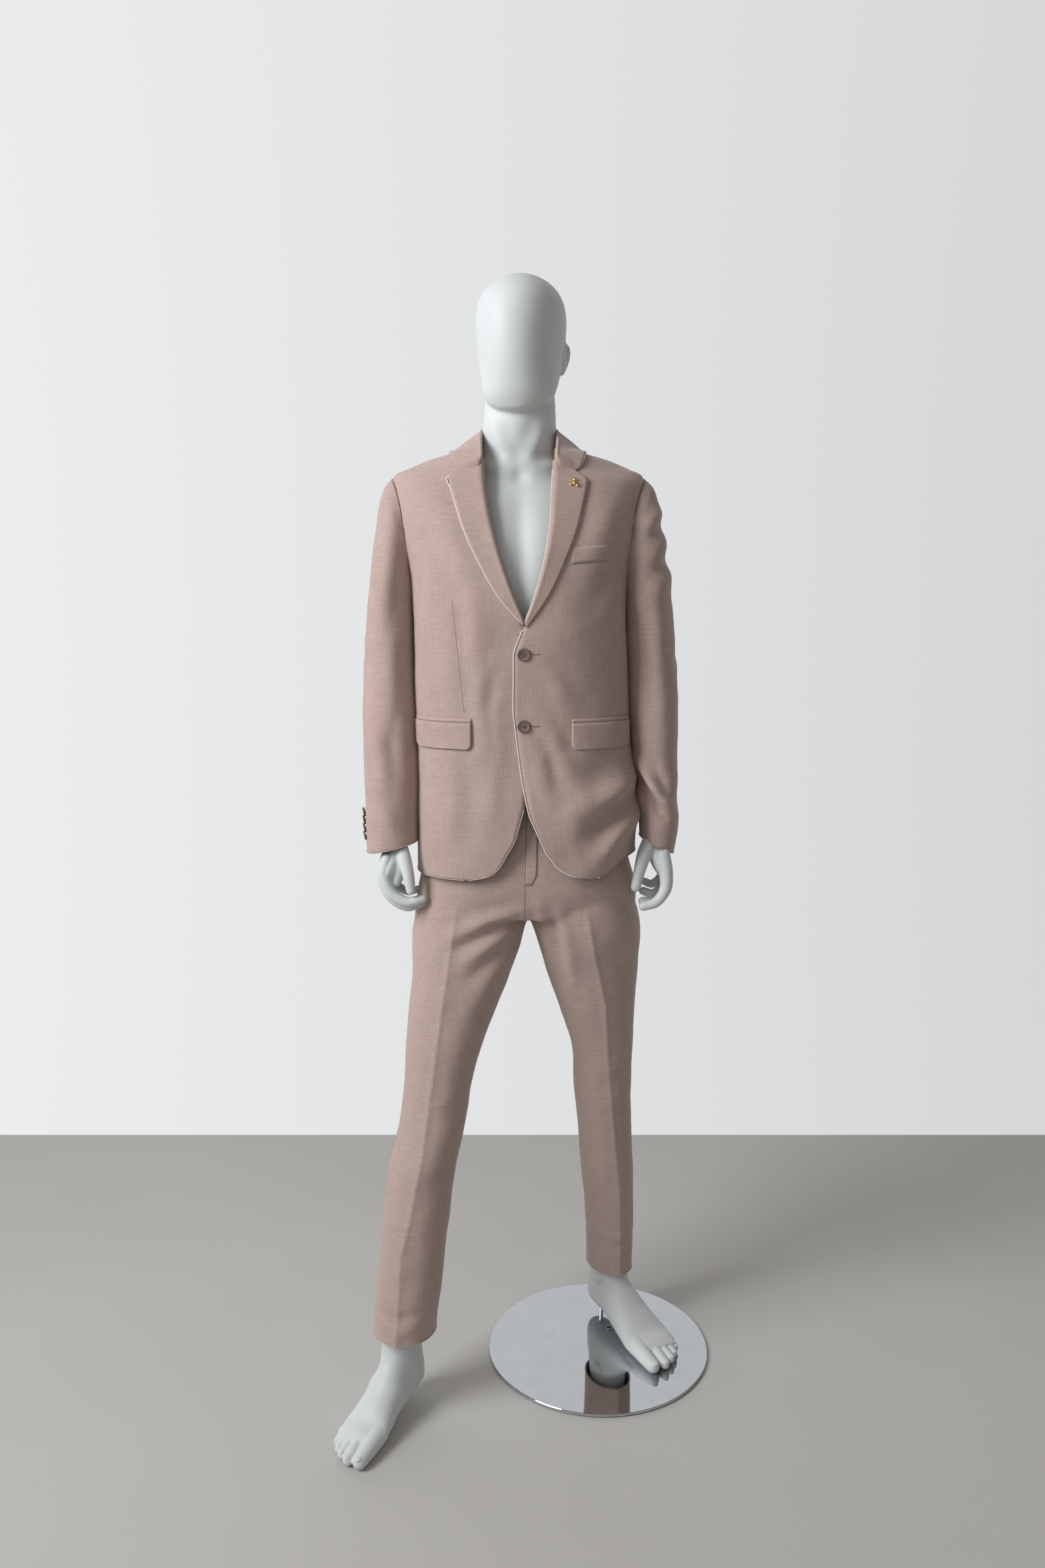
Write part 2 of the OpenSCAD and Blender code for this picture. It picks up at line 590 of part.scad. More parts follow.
// Each sleeve is open at the armhole, on the side towards the chest.
sleeve_seam = [mid_x + 217, mid_x - 215];
module left_sleeve() {
    color(suit_colour) difference() {
        skin(left_sleeve_stations, cloth_t, shut_last = true, n = 20);
        armhole(mid_x + 160, sleeve_seam[0]);
    }
}

module right_sleeve() {
    color(suit_colour) difference() {
        skin(right_sleeve_stations, cloth_t, shut_last = true, n = 20);
        armhole(sleeve_seam[1], mid_x - 160);
    }
}

base_underlay();
base_plate();
base_spigot();
spigot_screw();
pelvis_shell();
left_leg_shell();
right_leg_shell();
hip_plate(hip_at[0]);  // left_hip_plate
hip_plate(hip_at[1]);  // right_hip_plate
thigh_plate(hip_at[0]);  // left_thigh_plate
thigh_plate(hip_at[1]);  // right_thigh_plate
foot_socket(rod_at, ground + 21, rod_top);  // spigot_socket
foot_socket(spare_at, ground + 17, ground + 60);  // spare_socket
waist_socket_plate();
trouser_seat();
trouser_leg(trouser_left);  // trouser_left_leg
trouser_leg(trouser_right);  // trouser_right_leg
waistband();
fly_placket();
torso_head_shell();
waist_peg_plate();
shoulder_plate(1);  // left_shoulder_plate
shoulder_plate(-1);  // right_shoulder_plate
jacket_body();
jacket_collar();
left_lapel();
right_lapel();
pocket_flap(-58, 30);  // left_pocket_flap
pocket_flap(-311, -222);  // right_pocket_flap
breast_welt();
front_buttons();
lapel_pin();
pin_clutch();
arm_shell(left_arm);  // left_arm_shell
arm_plate(1);  // left_arm_plate
left_sleeve();
cuff_buttons(left_sleeve_stations, 1);  // left_cuff_buttons
wrist_socket(left_wrist);  // left_wrist_socket
arm_shell(right_arm);  // right_arm_shell
arm_plate(-1);  // right_arm_plate
right_sleeve();
cuff_buttons(right_sleeve_stations, -1);  // right_cuff_buttons
wrist_socket(right_wrist);  // right_wrist_socket
hand(left_wrist, 1);  // left_hand
wrist_peg(left_wrist);  // left_wrist_peg
hand(right_wrist, -1);  // right_hand
wrist_peg(right_wrist);  // right_wrist_peg
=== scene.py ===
"""Looks of the full body mannequin: moulded figure, two-button suit, mirror base."""
import math

import bmesh
import bpy
import numpy as np
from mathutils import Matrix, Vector, noise
from mathutils.bvhtree import BVHTree


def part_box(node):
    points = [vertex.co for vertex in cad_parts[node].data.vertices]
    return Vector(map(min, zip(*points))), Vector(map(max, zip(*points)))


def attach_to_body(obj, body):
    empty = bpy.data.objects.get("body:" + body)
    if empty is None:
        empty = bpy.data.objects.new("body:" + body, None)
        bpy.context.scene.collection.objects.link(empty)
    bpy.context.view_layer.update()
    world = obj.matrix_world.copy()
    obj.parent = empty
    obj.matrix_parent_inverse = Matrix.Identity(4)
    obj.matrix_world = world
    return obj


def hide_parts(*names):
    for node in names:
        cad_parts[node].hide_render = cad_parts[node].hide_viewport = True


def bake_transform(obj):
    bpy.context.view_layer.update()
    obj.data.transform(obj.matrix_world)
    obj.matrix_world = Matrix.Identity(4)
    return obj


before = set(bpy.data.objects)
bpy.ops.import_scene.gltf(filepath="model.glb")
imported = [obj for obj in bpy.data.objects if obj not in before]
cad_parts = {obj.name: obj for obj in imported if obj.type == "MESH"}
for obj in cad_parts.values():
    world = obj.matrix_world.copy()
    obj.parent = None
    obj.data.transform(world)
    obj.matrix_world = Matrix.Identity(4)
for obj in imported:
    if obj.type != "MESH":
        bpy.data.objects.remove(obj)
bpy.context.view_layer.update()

# Every length in the tables below is in millimetres, in the row's frame, and MM turns it to metres.
MM = 0.001
MID = -146.0                                          # the figure's middle, left and right
PLATE_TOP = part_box("base_plate")[1][2] / MM           # where the left foot stands
FLOOR_GAP = 0.5                                       # under the right foot


# ---------- numbers ----------
def smooth_rows(rows, gap, by=(0, 1, 2)):
    """The rows, resampled on a smooth curve about every gap, measured along the columns in by."""
    rows = np.array(rows, float)
    steps = np.linalg.norm(np.diff(rows[:, list(by)], axis=0), axis=1) + 1e-6
    at = np.concatenate([[0], np.cumsum(steps)])
    slope = np.gradient(rows, at, axis=0) if len(rows) > 2 else np.repeat(
        (rows[1:] - rows[:1]) / at[-1], 2, axis=0)
    new = np.linspace(0, at[-1], max(3, int(round(at[-1] / gap)) + 1))
    k = np.clip(np.searchsorted(at, new, side="right") - 1, 0, len(at) - 2)
    step = (at[k + 1] - at[k])[:, None]
    u = (new - at[k])[:, None] / step
    return ((2 * u**3 - 3 * u**2 + 1) * rows[k] + (u**3 - 2 * u**2 + u) * step * slope[k]
            + (3 * u**2 - 2 * u**3) * rows[k + 1] + (u**3 - u**2) * step * slope[k + 1])


def unit(v):
    """Each vector made one long."""
    return v / (np.linalg.norm(v, axis=-1, keepdims=True) + 1e-12)


def ease(v, low, high):
    """0 below low, 1 above high, smooth between."""
    t = np.clip((v - low) / (high - low), 0, 1)
    return t * t * (3 - 2 * t)


def bend(v, e):
    """A cosine or sine raised to a power, its sign kept: the lower e, the squarer the ring."""
    return np.sign(v) * np.abs(v) ** e


def ridge(x, z, height, width, path):
    """A soft ridge, or a groove when height is negative, along path, fading out at its two ends."""
    path = np.array(path, float)
    lengths = np.linalg.norm(np.diff(path, axis=0), axis=1)
    total, before = lengths.sum(), 0.0
    near = np.full(np.shape(x), 1e9)
    where = np.zeros(np.shape(x))
    for a, b, length in zip(path[:-1], path[1:], lengths):
        t = np.clip(((x - a[0]) * (b[0] - a[0]) + (z - a[1]) * (b[1] - a[1])) / length**2, 0, 1)
        d = np.hypot(x - a[0] - t * (b[0] - a[0]), z - a[1] - t * (b[1] - a[1]))
        closer = d < near
        near = np.where(closer, d, near)
        where = np.where(closer, (before + t * length) / total, where)
        before += length
    fade = np.sin(np.pi * np.clip(where, 0.04, 0.96)) ** 0.6
    crest = np.exp(-(near / width) ** 2)
    foot = 0.35 * np.exp(-((near - 1.9 * width) / width) ** 2)
    return height * fade * (crest - foot)


def folds(x, z, table):
    """The sum of a table of ridges and grooves, each (height, width, path)."""
    return sum(ridge(x, z, *fold) for fold in table)


def pressed(x, z, height, width, path):
    """A sharp pressed crease along path."""
    path = np.array(path, float)
    line = np.interp(z, path[::-1, 1], path[::-1, 0])
    ends = ease(z, path[-1, 1] - 30, path[-1, 1] + 5) * (1 - ease(z, path[0, 1] - 60, path[0, 1]))
    return height * np.exp(-np.abs(x - line) / width) * ends


def ripple(points, size, depth):
    """Low, random-looking unevenness, the same on every run."""
    value = [noise.noise(Vector(p) / size) for p in points.reshape(-1, 3)]
    return depth * np.array(value).reshape(points.shape[:-1])


def cloth_ripple(points, size, depth, fine, shift):
    """Two sizes of unevenness. shift keeps the fine one from following the broad one."""
    return ripple(points, size, depth) + ripple(points + shift, fine, 0.35)


# ---------- shapes: (points in mm, faces) ----------
def grid_faces(rows, cols, closed, flip=False):
    """The four-sided faces of a grid of points. closed joins the last column to the first."""
    wide = cols if closed else cols - 1
    r, c = np.meshgrid(np.arange(rows - 1), np.arange(wide), indexing="ij")
    a = r * cols + c
    b = r * cols + (c + 1) % cols
    quads = np.stack([a, b, b + cols, a + cols], axis=-1).reshape(-1, 4)
    return [tuple(q[::-1] if flip else q) for q in quads.tolist()]


def closed_loft(rings):
    """A solid through a stack of rings, its two ends flat."""
    rows, cols = rings.shape[:2]
    faces = grid_faces(rows, cols, True)
    faces.append(tuple(range(cols))[::-1])
    faces.append(tuple(range((rows - 1) * cols, rows * cols)))
    return rings.reshape(-1, 3), faces


def rings_of(stations, gap, sides):
    """Rings of a body through stations [x, y, z, turn, tilt, half width, half depth, squareness]."""
    rows = smooth_rows(stations, gap)
    a = np.linspace(0, 2 * np.pi, sides, endpoint=False)
    made = []
    for x, y, z, turn, tilt, w, d, n in rows:
        turn, tilt = math.radians(turn), math.radians(tilt)
        side = np.array([math.cos(turn), math.sin(turn), 0])
        front = np.array([math.sin(turn) * math.cos(tilt), -math.cos(turn) * math.cos(tilt),
                          math.sin(tilt)])
        made.append(np.array([x, y, z]) + w * bend(np.cos(a), 2 / n)[:, None] * side
                    + d * bend(np.sin(a), 2 / n)[:, None] * front)
    return np.array(made)


def tube(path, radii, sides=16, gap=2.0):
    """A round-ended tube along a smooth path."""
    rows = smooth_rows(np.column_stack([path, radii]), gap)
    centre, radius = rows[:, :3], rows[:, 3]
    along = unit(np.gradient(centre, axis=0))
    caps = np.radians([78, 52, 26])
    first = [(centre[0] - along[0] * radius[0] * np.sin(b), radius[0] * np.cos(b)) for b in caps]
    last = [(centre[-1] + along[-1] * radius[-1] * np.sin(b), radius[-1] * np.cos(b)) for b in caps]
    centre = np.vstack([[c for c, r in first], centre, [c for c, r in last[::-1]]])
    radius = np.concatenate([[r for c, r in first], radius, [r for c, r in last[::-1]]])
    along = np.vstack([np.repeat(along[:1], 3, 0), along, np.repeat(along[-1:], 3, 0)])
    side = np.cross(along[0], [0.3, 0.2, 1.0])
    a = np.linspace(0, 2 * np.pi, sides, endpoint=False)[:, None]
    rings = []
    for c, r, t in zip(centre, radius, along):
        side = unit(side - (side @ t) * t)
        rings.append(c + r * (np.cos(a) * side + np.sin(a) * np.cross(t, side)))
    return closed_loft(np.array(rings))


def blob(centre, radii, turn=0.0, sides=24):
    """An ellipsoid, turned about Z."""
    polar = np.radians(np.linspace(-84, 84, 13))
    a = np.linspace(0, 2 * np.pi, sides, endpoint=False)
    t = math.radians(turn)
    rings = []
    for p in polar:
        x = radii[0] * np.cos(p) * np.cos(a)
        y = radii[1] * np.cos(p) * np.sin(a)
        z = np.full(sides, radii[2] * np.sin(p))
        rings.append(np.column_stack([x * math.cos(t) - y * math.sin(t),
                                      x * math.sin(t) + y * math.cos(t), z]) + centre)
    return closed_loft(np.array(rings))


def join(*shapes):
    """Several shapes as one, not welded."""
    points, faces, start = [], [], 0
    for p, f in shapes:
        points.append(np.asarray(p))
        faces.extend(tuple(i + start for i in face) for face in f)
        start += len(p)
    return np.vstack(points), faces


def make(name, shape, material):
    """A smooth shaded object from a shape in mm."""
    points, faces = shape
    mesh = bpy.data.meshes.new(name)
    mesh.from_pydata((np.asarray(points) * MM).tolist(), [], faces)
    mesh.update()
    mesh.polygons.foreach_set("use_smooth", [True] * len(mesh.polygons))
    mesh.materials.append(material)
    obj = bpy.data.objects.new(name, mesh)
    bpy.context.scene.collection.objects.link(obj)
    return obj


def modify(obj, kind, **settings):
    """Adds a modifier."""
    change = obj.modifiers.new(kind.lower(), kind)
    for key, value in settings.items():
        setattr(change, key, value)


def apply_all(obj):
    """The modifiers' result becomes the mesh."""
    shown = obj.evaluated_get(bpy.context.evaluated_depsgraph_get())
    mesh = bpy.data.meshes.new_from_object(shown)
    obj.modifiers.clear()
    obj.data = mesh
    mesh.polygons.foreach_set("use_smooth", [True] * len(mesh.polygons))


def read(obj):
    """An object's points in mm, and its normals."""
    count = len(obj.data.vertices)
    points, normals = np.empty(count * 3), np.empty(count * 3)
    obj.data.vertices.foreach_get("co", points)
    obj.data.vertices.foreach_get("normal", normals)
    return points.reshape(-1, 3) / MM, normals.reshape(-1, 3)


def write(obj, points):
    """Moves an object's points, given in mm."""
    obj.data.vertices.foreach_set("co", (points * MM).ravel())
    obj.data.update()


def mould(name, shapes, voxel, rounds, material):
    """Closed shapes that grow together into one smooth moulding."""
    obj = make(name, join(*shapes), material)
    modify(obj, "REMESH", mode="VOXEL", voxel_size=voxel * MM)
    modify(obj, "SMOOTH", factor=0.5, iterations=rounds)
    apply_all(obj)
    return obj


def merge(name, objs):
    """Several objects made into the first one."""
    with bpy.context.temp_override(active_object=objs[0], object=objs[0],
                                   selected_objects=objs, selected_editable_objects=objs):
        bpy.ops.object.join()
    objs[0].name = name
    return objs[0]


def tree_of(grid):
    """A search tree of the tube that a grid of rings makes."""
    return BVHTree.FromPolygons((grid.reshape(-1, 3) * MM).tolist(), grid_faces(*grid.shape[:2], True))


def attach(obj, body, *nodes, slot="suit_cloth"):
    """Says which CAD nodes a piece replaces and which body carries it. slot, what it is made of, is not
    used.
    """
    if nodes:
        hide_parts(*nodes)
    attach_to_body(obj, body)


# ---------- materials ----------
def node_material(name, colour, roughness, metallic=0.0):
    """A new material with its node tree and its shader."""
    material = bpy.data.materials.new(name)
    material.use_nodes = True
    shader = material.node_tree.nodes["Principled BSDF"]
    shader.inputs["Base Color"].default_value = (*colour, 1)
    shader.inputs["Roughness"].default_value = roughness
    shader.inputs["Metallic"].default_value = metallic
    return material, material.node_tree, shader


def add(tree, kind, **inputs):
    """A node, with its input sockets set to values or linked to other nodes' sockets."""
    node = tree.nodes.new(kind)
    for key, value in inputs.items():
        socket = node.inputs[int(key[1:])] if key[0] == "_" else node.inputs[key]
        if isinstance(value, bpy.types.NodeSocket):
            tree.links.new(value, socket)
        else:
            socket.default_value = value
    return node


def stretched_noise(tree, stretch, scale, detail=3.0):
    """Noise in metres of the object's own frame, stretched by a factor along each axis."""
    place = add(tree, "ShaderNodeTexCoord")
    mapping = add(tree, "ShaderNodeMapping", Vector=place.outputs["Object"], Scale=stretch)
    return add(tree, "ShaderNodeTexNoise", Vector=mapping.outputs["Vector"], Scale=scale, Detail=detail)


def blend_colours(tree, factor, low, high, dark, light):
    """A ramp from dark to light as factor goes from low to high."""
    ramp = add(tree, "ShaderNodeValToRGB", Fac=factor)
    ramp.color_ramp.elements[0].position = low
    ramp.color_ramp.elements[1].position = high
    ramp.color_ramp.elements[0].color = (*dark, 1)
    ramp.color_ramp.elements[1].color = (*light, 1)
    return ramp.outputs["Color"]


def spread(tree, value, start, end, low=0.0, high=1.0):
    """value's stretch from start to end, spread over low to high."""
    limits = {"From Min": start, "From Max": end, "To Min": low, "To Max": high}
    return add(tree, "ShaderNodeMapRange", Value=value, **limits).outputs["Result"]


def rough_range(tree, factor, low, high):
    """A roughness from low to high over the middle of a noise."""
    return spread(tree, factor, 0.3, 0.7, low, high)


def coat(tree, shader, colour, rough=None, bump=None):
    """Links a colour, a roughness and a bump of (strength, depth in metres, height) to the shader."""
    tree.links.new(colour, shader.inputs["Base Color"])
    if rough:
        tree.links.new(rough, shader.inputs["Roughness"])
    if bump:
        strength, distance, height = bump
        node = add(tree, "ShaderNodeBump", Strength=strength, Distance=distance, Height=height)
        tree.links.new(node.outputs["Normal"], shader.inputs["Normal"])


def suit_material(name, dark, light):
    """Linen blend: a fine plain weave with slubs that run down the cloth."""
    material, tree, shader = node_material(name, light, 0.85)
    slub = stretched_noise(tree, (1, 1, 0.045), 520, 4)
    weft = stretched_noise(tree, (0.07, 0.07, 1), 640, 3)
    cloud = stretched_noise(tree, (1, 1, 0.6), 16, 2)
    threads = add(tree, "ShaderNodeMath", _0=slub.outputs["Fac"], _1=weft.outputs["Fac"])
    threads.operation = "ADD"
    faint = add(tree, "ShaderNodeMath", _0=cloud.outputs["Fac"], _1=0.16)
    faint.operation = "MULTIPLY"
    mixed = add(tree, "ShaderNodeMath", _0=threads.outputs["Value"], _1=0.42, _2=faint.outputs["Value"])
    mixed.operation = "MULTIPLY_ADD"
    coat(tree, shader, blend_colours(tree, mixed.outputs["Value"], 0.32, 0.68, dark, light),
         rough_range(tree, slub.outputs["Fac"], 0.74, 0.92), (0.35, 0.0006, threads.outputs["Value"]))
    shader.inputs["Sheen Weight"].default_value = 0.25
    shader.inputs["Sheen Roughness"].default_value = 0.5
    shader.inputs["Specular IOR Level"].default_value = 0.2
    return material


def skin_material():
    """Matt sprayed paint with a faint orange peel."""
    material, tree, shader = node_material("body_paint", (0.66, 0.69, 0.69), 0.5)
    patch = stretched_noise(tree, (1, 1, 1), 9, 2)
    peel = stretched_noise(tree, (1, 1, 1), 420, 2)
    colour = blend_colours(tree, patch.outputs["Fac"], 0.3, 0.7, (0.62, 0.655, 0.655), (0.68, 0.71, 0.705))
    coat(tree, shader, colour, rough_range(tree, patch.outputs["Fac"], 0.46, 0.58),
         (0.08, 0.0004, peel.outputs["Fac"]))
    shader.inputs["Specular IOR Level"].default_value = 0.35
    return material


def metal_material(name, dark, light, low, high, stretch=(1, 1, 1), scale=60, bumpy=0.02):
    """A metal with fine wear that varies its gloss."""
    material, tree, shader = node_material(name, light, low, 1.0)
    wear = stretched_noise(tree, stretch, scale, 4)
    coat(tree, shader, blend_colours(tree, wear.outputs["Fac"], 0.35, 0.65, dark, light),
         rough_range(tree, wear.outputs["Fac"], low, high), (bumpy, 0.0002, wear.outputs["Fac"]))
    return material


def button_material(name, dark, light):
    """Swirled polyester with a soft gloss."""
    material, tree, shader = node_material(name, light, 0.3)
    swirl = stretched_noise(tree, (1, 1, 2.4), 170, 5)
    swirl.inputs["Distortion"].default_value = 1.6
    coat(tree, shader, blend_colours(tree, swirl.outputs["Fac"], 0.35, 0.68, dark, light),
         rough_range(tree, swirl.outputs["Fac"], 0.24, 0.4))
    shader.inputs["Coat Weight"].default_value = 0.3
    return material


def foam_material():
    """Black foam with open cells."""
    material, tree, shader = node_material("underlay_foam", (0.03, 0.03, 0.034), 0.9)
    cells = stretched_noise(tree, (1, 1, 1), 900, 2)
    coat(tree, shader, blend_colours(tree, cells.outputs["Fac"], 0.3, 0.7, (0.018, 0.018, 0.02),
                                     (0.05, 0.05, 0.055)), bump=(0.3, 0.0004, cells.outputs["Fac"]))
    return material


SKIN = skin_material()
SUIT = suit_material("suit_cloth", (0.39, 0.287, 0.253), (0.525, 0.397, 0.357))
# Pale cloth for the edges that face the key light: a painted highlight.
EDGE_HIGHLIGHT = suit_material("suit_edge_highlight", (0.72, 0.64, 0.59), (0.84, 0.76, 0.71))
# Dark cloth for seams, slits, darts, buttonholes and under the flaps: painted shade in grooves and gaps.
SEAM_SHADE = suit_material("suit_seam_shade", (0.23, 0.17, 0.145), (0.33, 0.245, 0.21))
# Near-black cloth for the lining, also used as painted shade in the button holes.
LINING_AND_HOLE_SHADE = suit_material("suit_lining_and_hole_shade", (0.055, 0.04, 0.038), (0.11, 0.085, 0.08))
MIRROR = metal_material("base_mirror", (0.57, 0.585, 0.60), (0.60, 0.615, 0.63), 0.02, 0.06, scale=30,
                        bumpy=0.004)
CHROME = metal_material("spigot_chrome", (0.74, 0.75, 0.77), (0.82, 0.83, 0.85), 0.06, 0.14)
STEEL = metal_material("fitting_steel", (0.40, 0.41, 0.43), (0.60, 0.61, 0.63), 0.28, 0.42,
                       stretch=(1, 1, 0.1), scale=300)
GOLD = metal_material("pin_gold", (0.70, 0.47, 0.15), (0.88, 0.65, 0.27), 0.14, 0.28, scale=400)
BUTTON = button_material("front_button", (0.12, 0.075, 0.068), (0.26, 0.185, 0.165))
HORN = button_material("cuff_button", (0.07, 0.035, 0.018), (0.23, 0.135, 0.075))
THREAD = suit_material("sewing_thread", (0.20, 0.145, 0.125), (0.30, 0.23, 0.20))
FOAM = foam_material()


# ---------- moulded figure ----------
HEAD_TURN = -10                                     # degrees, to the figure's right


def head_rings():
    """The faceless egg, turned a little to its right."""
    sections = [  # height, x, y, half width, half depth
        [1664, -147, -50, 14, 14], [1668, -147, -46, 30, 26], [1676, -146, -40, 45, 38],
        [1690, -145, -33, 56, 53], [1708, -143.5, -25, 61, 67], [1735, -142, -16, 65, 83],
        [1765, -141.5, -9, 69, 94], [1795, -141, -5, 72, 98], [1818, -141, -4, 72, 96],
        [1842, -141, -3, 67, 88], [1861, -141, -2, 55, 72], [1874, -141, -1, 38, 51],
        [1881, -141, -1, 20, 27], [1883, -141, -1, 7, 9],
    ]
    return rings_of([[x, y, z, HEAD_TURN, 0, w, d, 2.05] for z, x, y, w, d in sections], 3.0, 72)


def ear(out, way):
    """A plain moulded ear on the turned head, standing out at its back edge."""
    t = math.radians(HEAD_TURN)
    side = np.array([math.cos(t), math.sin(t), 0])
    back = np.array([-math.sin(t), math.cos(t), 0])
    centre = np.array([-141, -6, 1755.0])
    rim = [centre + way * side * (out + o) + back * (b + 12) + [0, 0, h] for o, b, h in
           ((-2, 4, -24), (2, 9, -12), (5.5, 13, 4), (5.5, 11, 17), (1, 2, 22))]
    return join(blob(centre + way * side * out + back * 12, (4.5, 12, 20), HEAD_TURN),
                tube(rim, [3.2, 3.8, 4.2, 4.0, 3.0], gap=1.5))


def torso_shapes():
    """The trunk and neck, the head and its two ears."""
    trunk = rings_of([
        [-141, 0, 1100, 0, 0, 140, 95, 2.5], [-141, 0, 1150, 0, 0, 139, 95, 2.5],
        [-142, 0, 1220, 0, 0, 148, 102, 2.5], [-144, -2, 1300, 0, 0, 157, 111, 2.4],
        [-145, -3, 1380, 0, 0, 161, 114, 2.4], [-146, 0, 1440, 0, 0, 161, 108, 2.4],
        [-146, 4, 1490, 0, 0, 161, 95, 2.3], [-146, 8, 1530, 0, 0, 151, 82, 2.2],
        [-146, 12, 1560, 0, 0, 116, 70, 2], [-146, 13, 1580, 0, 0, 84, 64, 2],
        [-146, 12, 1600, 0, 0, 67, 60, 2], [-144.5, 8, 1622, 0, 0, 62.5, 60, 2],
        [-144, 4, 1650, 0, 0, 60, 61, 2], [-143, 2, 1685, 0, 0, 57.5, 58, 2],
        [-143, 2, 1720, 0, 0, 54, 54, 2],
    ], 6.0, 72)
    return [closed_loft(trunk), closed_loft(head_rings()), ear(67.5, 1), ear(63, -1)]


def chest_relief(x, z):
    """Collarbones, breastbone, chest muscles and the cords of the neck."""
    total = np.zeros(np.shape(x))
    for way in (-1, 1):
        total += ridge(x, z, 2.6, 10, [(MID + way * 13, 1578), (MID + way * 55, 1583),
                                      (MID + way * 120, 1590)])
        total += ridge(x, z, 3.2, 11, [(MID + way * 10, 1580), (MID + way * 34, 1625),
                                       (MID + way * 52, 1672)])
        total += 4.5 * np.exp(-((x - MID - way * 62) / 46) ** 2 - ((z - 1455) / 62) ** 2)
        total += ridge(x, z, -1.6, 17, [(MID + way * 20, 1560), (MID + way * 70, 1562),
                                        (MID + way * 120, 1568)])
    total += ridge(x, z, -3.6, 15, [(MID + 2, 1560), (MID + 2, 1470), (MID + 1, 1330), (MID, 1240)])
    return total - 4.0 * np.exp(-((x - MID - 2) / 15) ** 2 - ((z - 1566) / 14) ** 2)


def make_torso():
    """Torso, neck and head in one moulding."""
    obj = mould("torso_head", torso_shapes(), 2.6, 6, SKIN)
    points, normals = read(obj)
    front = np.clip(-normals[:, 1] * 2, 0, 1) * ease(-points[:, 2], -1690, -1650)
    write(obj, points + normals * (chest_relief(points[:, 0], points[:, 2]) * front)[:, None])
    attach(obj, "torso", "torso_head_shell", slot="body_shell")


FOOT_PROFILE = [  # s from the heel, height, tilt, half width, half depth
    [212, 15, 90, 40, 9], [204, 16, 90, 43, 13], [178, 20, 90, 46, 18], [152, 27, 72, 42, 25],
    [117, 40, 57, 37, 32], [90, 50, 47, 34, 41], [69, 54, 41, 32, 51], [52, 62, 35, 31, 58],
    [50, 77, 27, 31, 52], [51, 102, 22, 31, 43], [53, 133, 11, 31, 39],
]
TOES = [  # s, across to the inner side, height and radius of each joint
    [[170, 25, 20, 18], [212, 30, 15, 14], [238, 31, 12, 12]],
    [[176, 6, 19, 13], [218, 6, 14, 10.4], [241, 8, 10.5, 9.4]],
    [[174, -10, 17, 12], [212, -11, 13, 9.6], [233, -10, 10, 8.8]],
    [[168, -24, 15, 11], [204, -26, 12, 9], [223, -24, 9.5, 8.2]],
    [[156, -35, 14, 11], [192, -39, 11, 8.8], [209, -37, 9, 8]],
]


def make_leg(name, heel, turn, inner, low, size, upper):
    """A leg from its toes to the thigh. inner is -1 where the inner side is towards -X.
    size scales the foot's length and breadth."""
    t = math.radians(turn)
    ahead = np.array([math.sin(t), -math.cos(t), 0])
    across = inner * np.array([math.cos(t), math.sin(t), 0])

    def spot(s, a, h):
        s = 60 + (s - 60) * size[0] if s > 60 else s
        return np.array([heel[0], heel[1], low + h]) + s * ahead + a * size[1] * across

    foot = [[*spot(s, 0, h), turn, tilt, w * (size[1] if s > 100 else 1), d, 2.2]
            for s, h, tilt, w, d in FOOT_PROFILE]
    shapes = [closed_loft(rings_of(foot + upper[:2], 3.0, 48))]
    for joints in TOES:
        shapes.append(tube([spot(s, a, h) for s, a, h, r in joints], [j[3] for j in joints], gap=1.5))
    shapes.append(blob(spot(186, -2, 16), (43, 22, 12), turn))
    for side, s, h in ((1, 62, 92), (-1, 56, 84)):
        shapes.append(blob(spot(s, side * 25, h), (10, 13, 13), turn))
    obj = mould(name, shapes, 1.5, 3, SKIN)
    thigh = make(name + "_upper", closed_loft(rings_of(upper, 12.0, 48)), SKIN)
    nails = []
    for number, joints in enumerate(TOES):
        s, a, h, r = joints[2]
        nail = blob(spot(s + r * 0.25, a, h + r * 0.62), (r * 0.62, r * 0.72, r * 0.36), turn)
        nails.append(make("%s_nail_%d" % (name, number), nail, SKIN))
    obj = merge(name, [obj, thigh, *nails])
    attach(obj, "lower_body", name + "_shell", slot="body_shell")


def make_legs():
    """Each upper leg is a list of stations from the ankle to the thigh, as in rings_of."""
    make_leg("left_leg", (-2, 135), 31, -1, PLATE_TOP, (1.0, 1.02), [
        [23, 86, 180, 24, 0, 33, 41, 2], [24, 80, 230, 20, 0, 36, 46, 2],
        [17, 72, 330, 16, 0, 41, 54, 2], [13, 64, 400, 13, 0, 41, 54, 2],
        [3, 52, 500, 10, 0, 45, 51, 2], [1, 42, 570, 8, 0, 45, 54, 2],
        [-7, 32, 645, 5, 0, 57, 64, 2.2], [-21, 18, 742, 3, 0, 69, 78, 2.3],
        [-40, 8, 800, 0, 0, 70, 86, 2.4], [-54, 2, 845, 0, 0, 71, 87, 2.4]])
    make_leg("right_leg", (-322, -112), -27, 1, FLOOR_GAP, (0.91, 0.88), [
        [-342, -160, 180, -20, 0, 33, 41, 2], [-335, -149, 230, -17, 0, 38, 46, 2],
        [-321, -128, 330, -14, 0, 45, 54, 2], [-312, -112, 400, -12, 0, 47, 56, 2],
        [-290, -88, 500, -10, 0, 48, 53, 2], [-281, -70, 570, -8, 0, 50, 57, 2],
        [-268, -50, 645, -5, 0, 59, 66, 2.2], [-246, -26, 742, -3, 0, 74, 80, 2.3],
        [-237, -9, 800, 0, 0, 78, 86, 2.4], [-230, -2, 845, 0, 0, 77, 87, 2.4]])


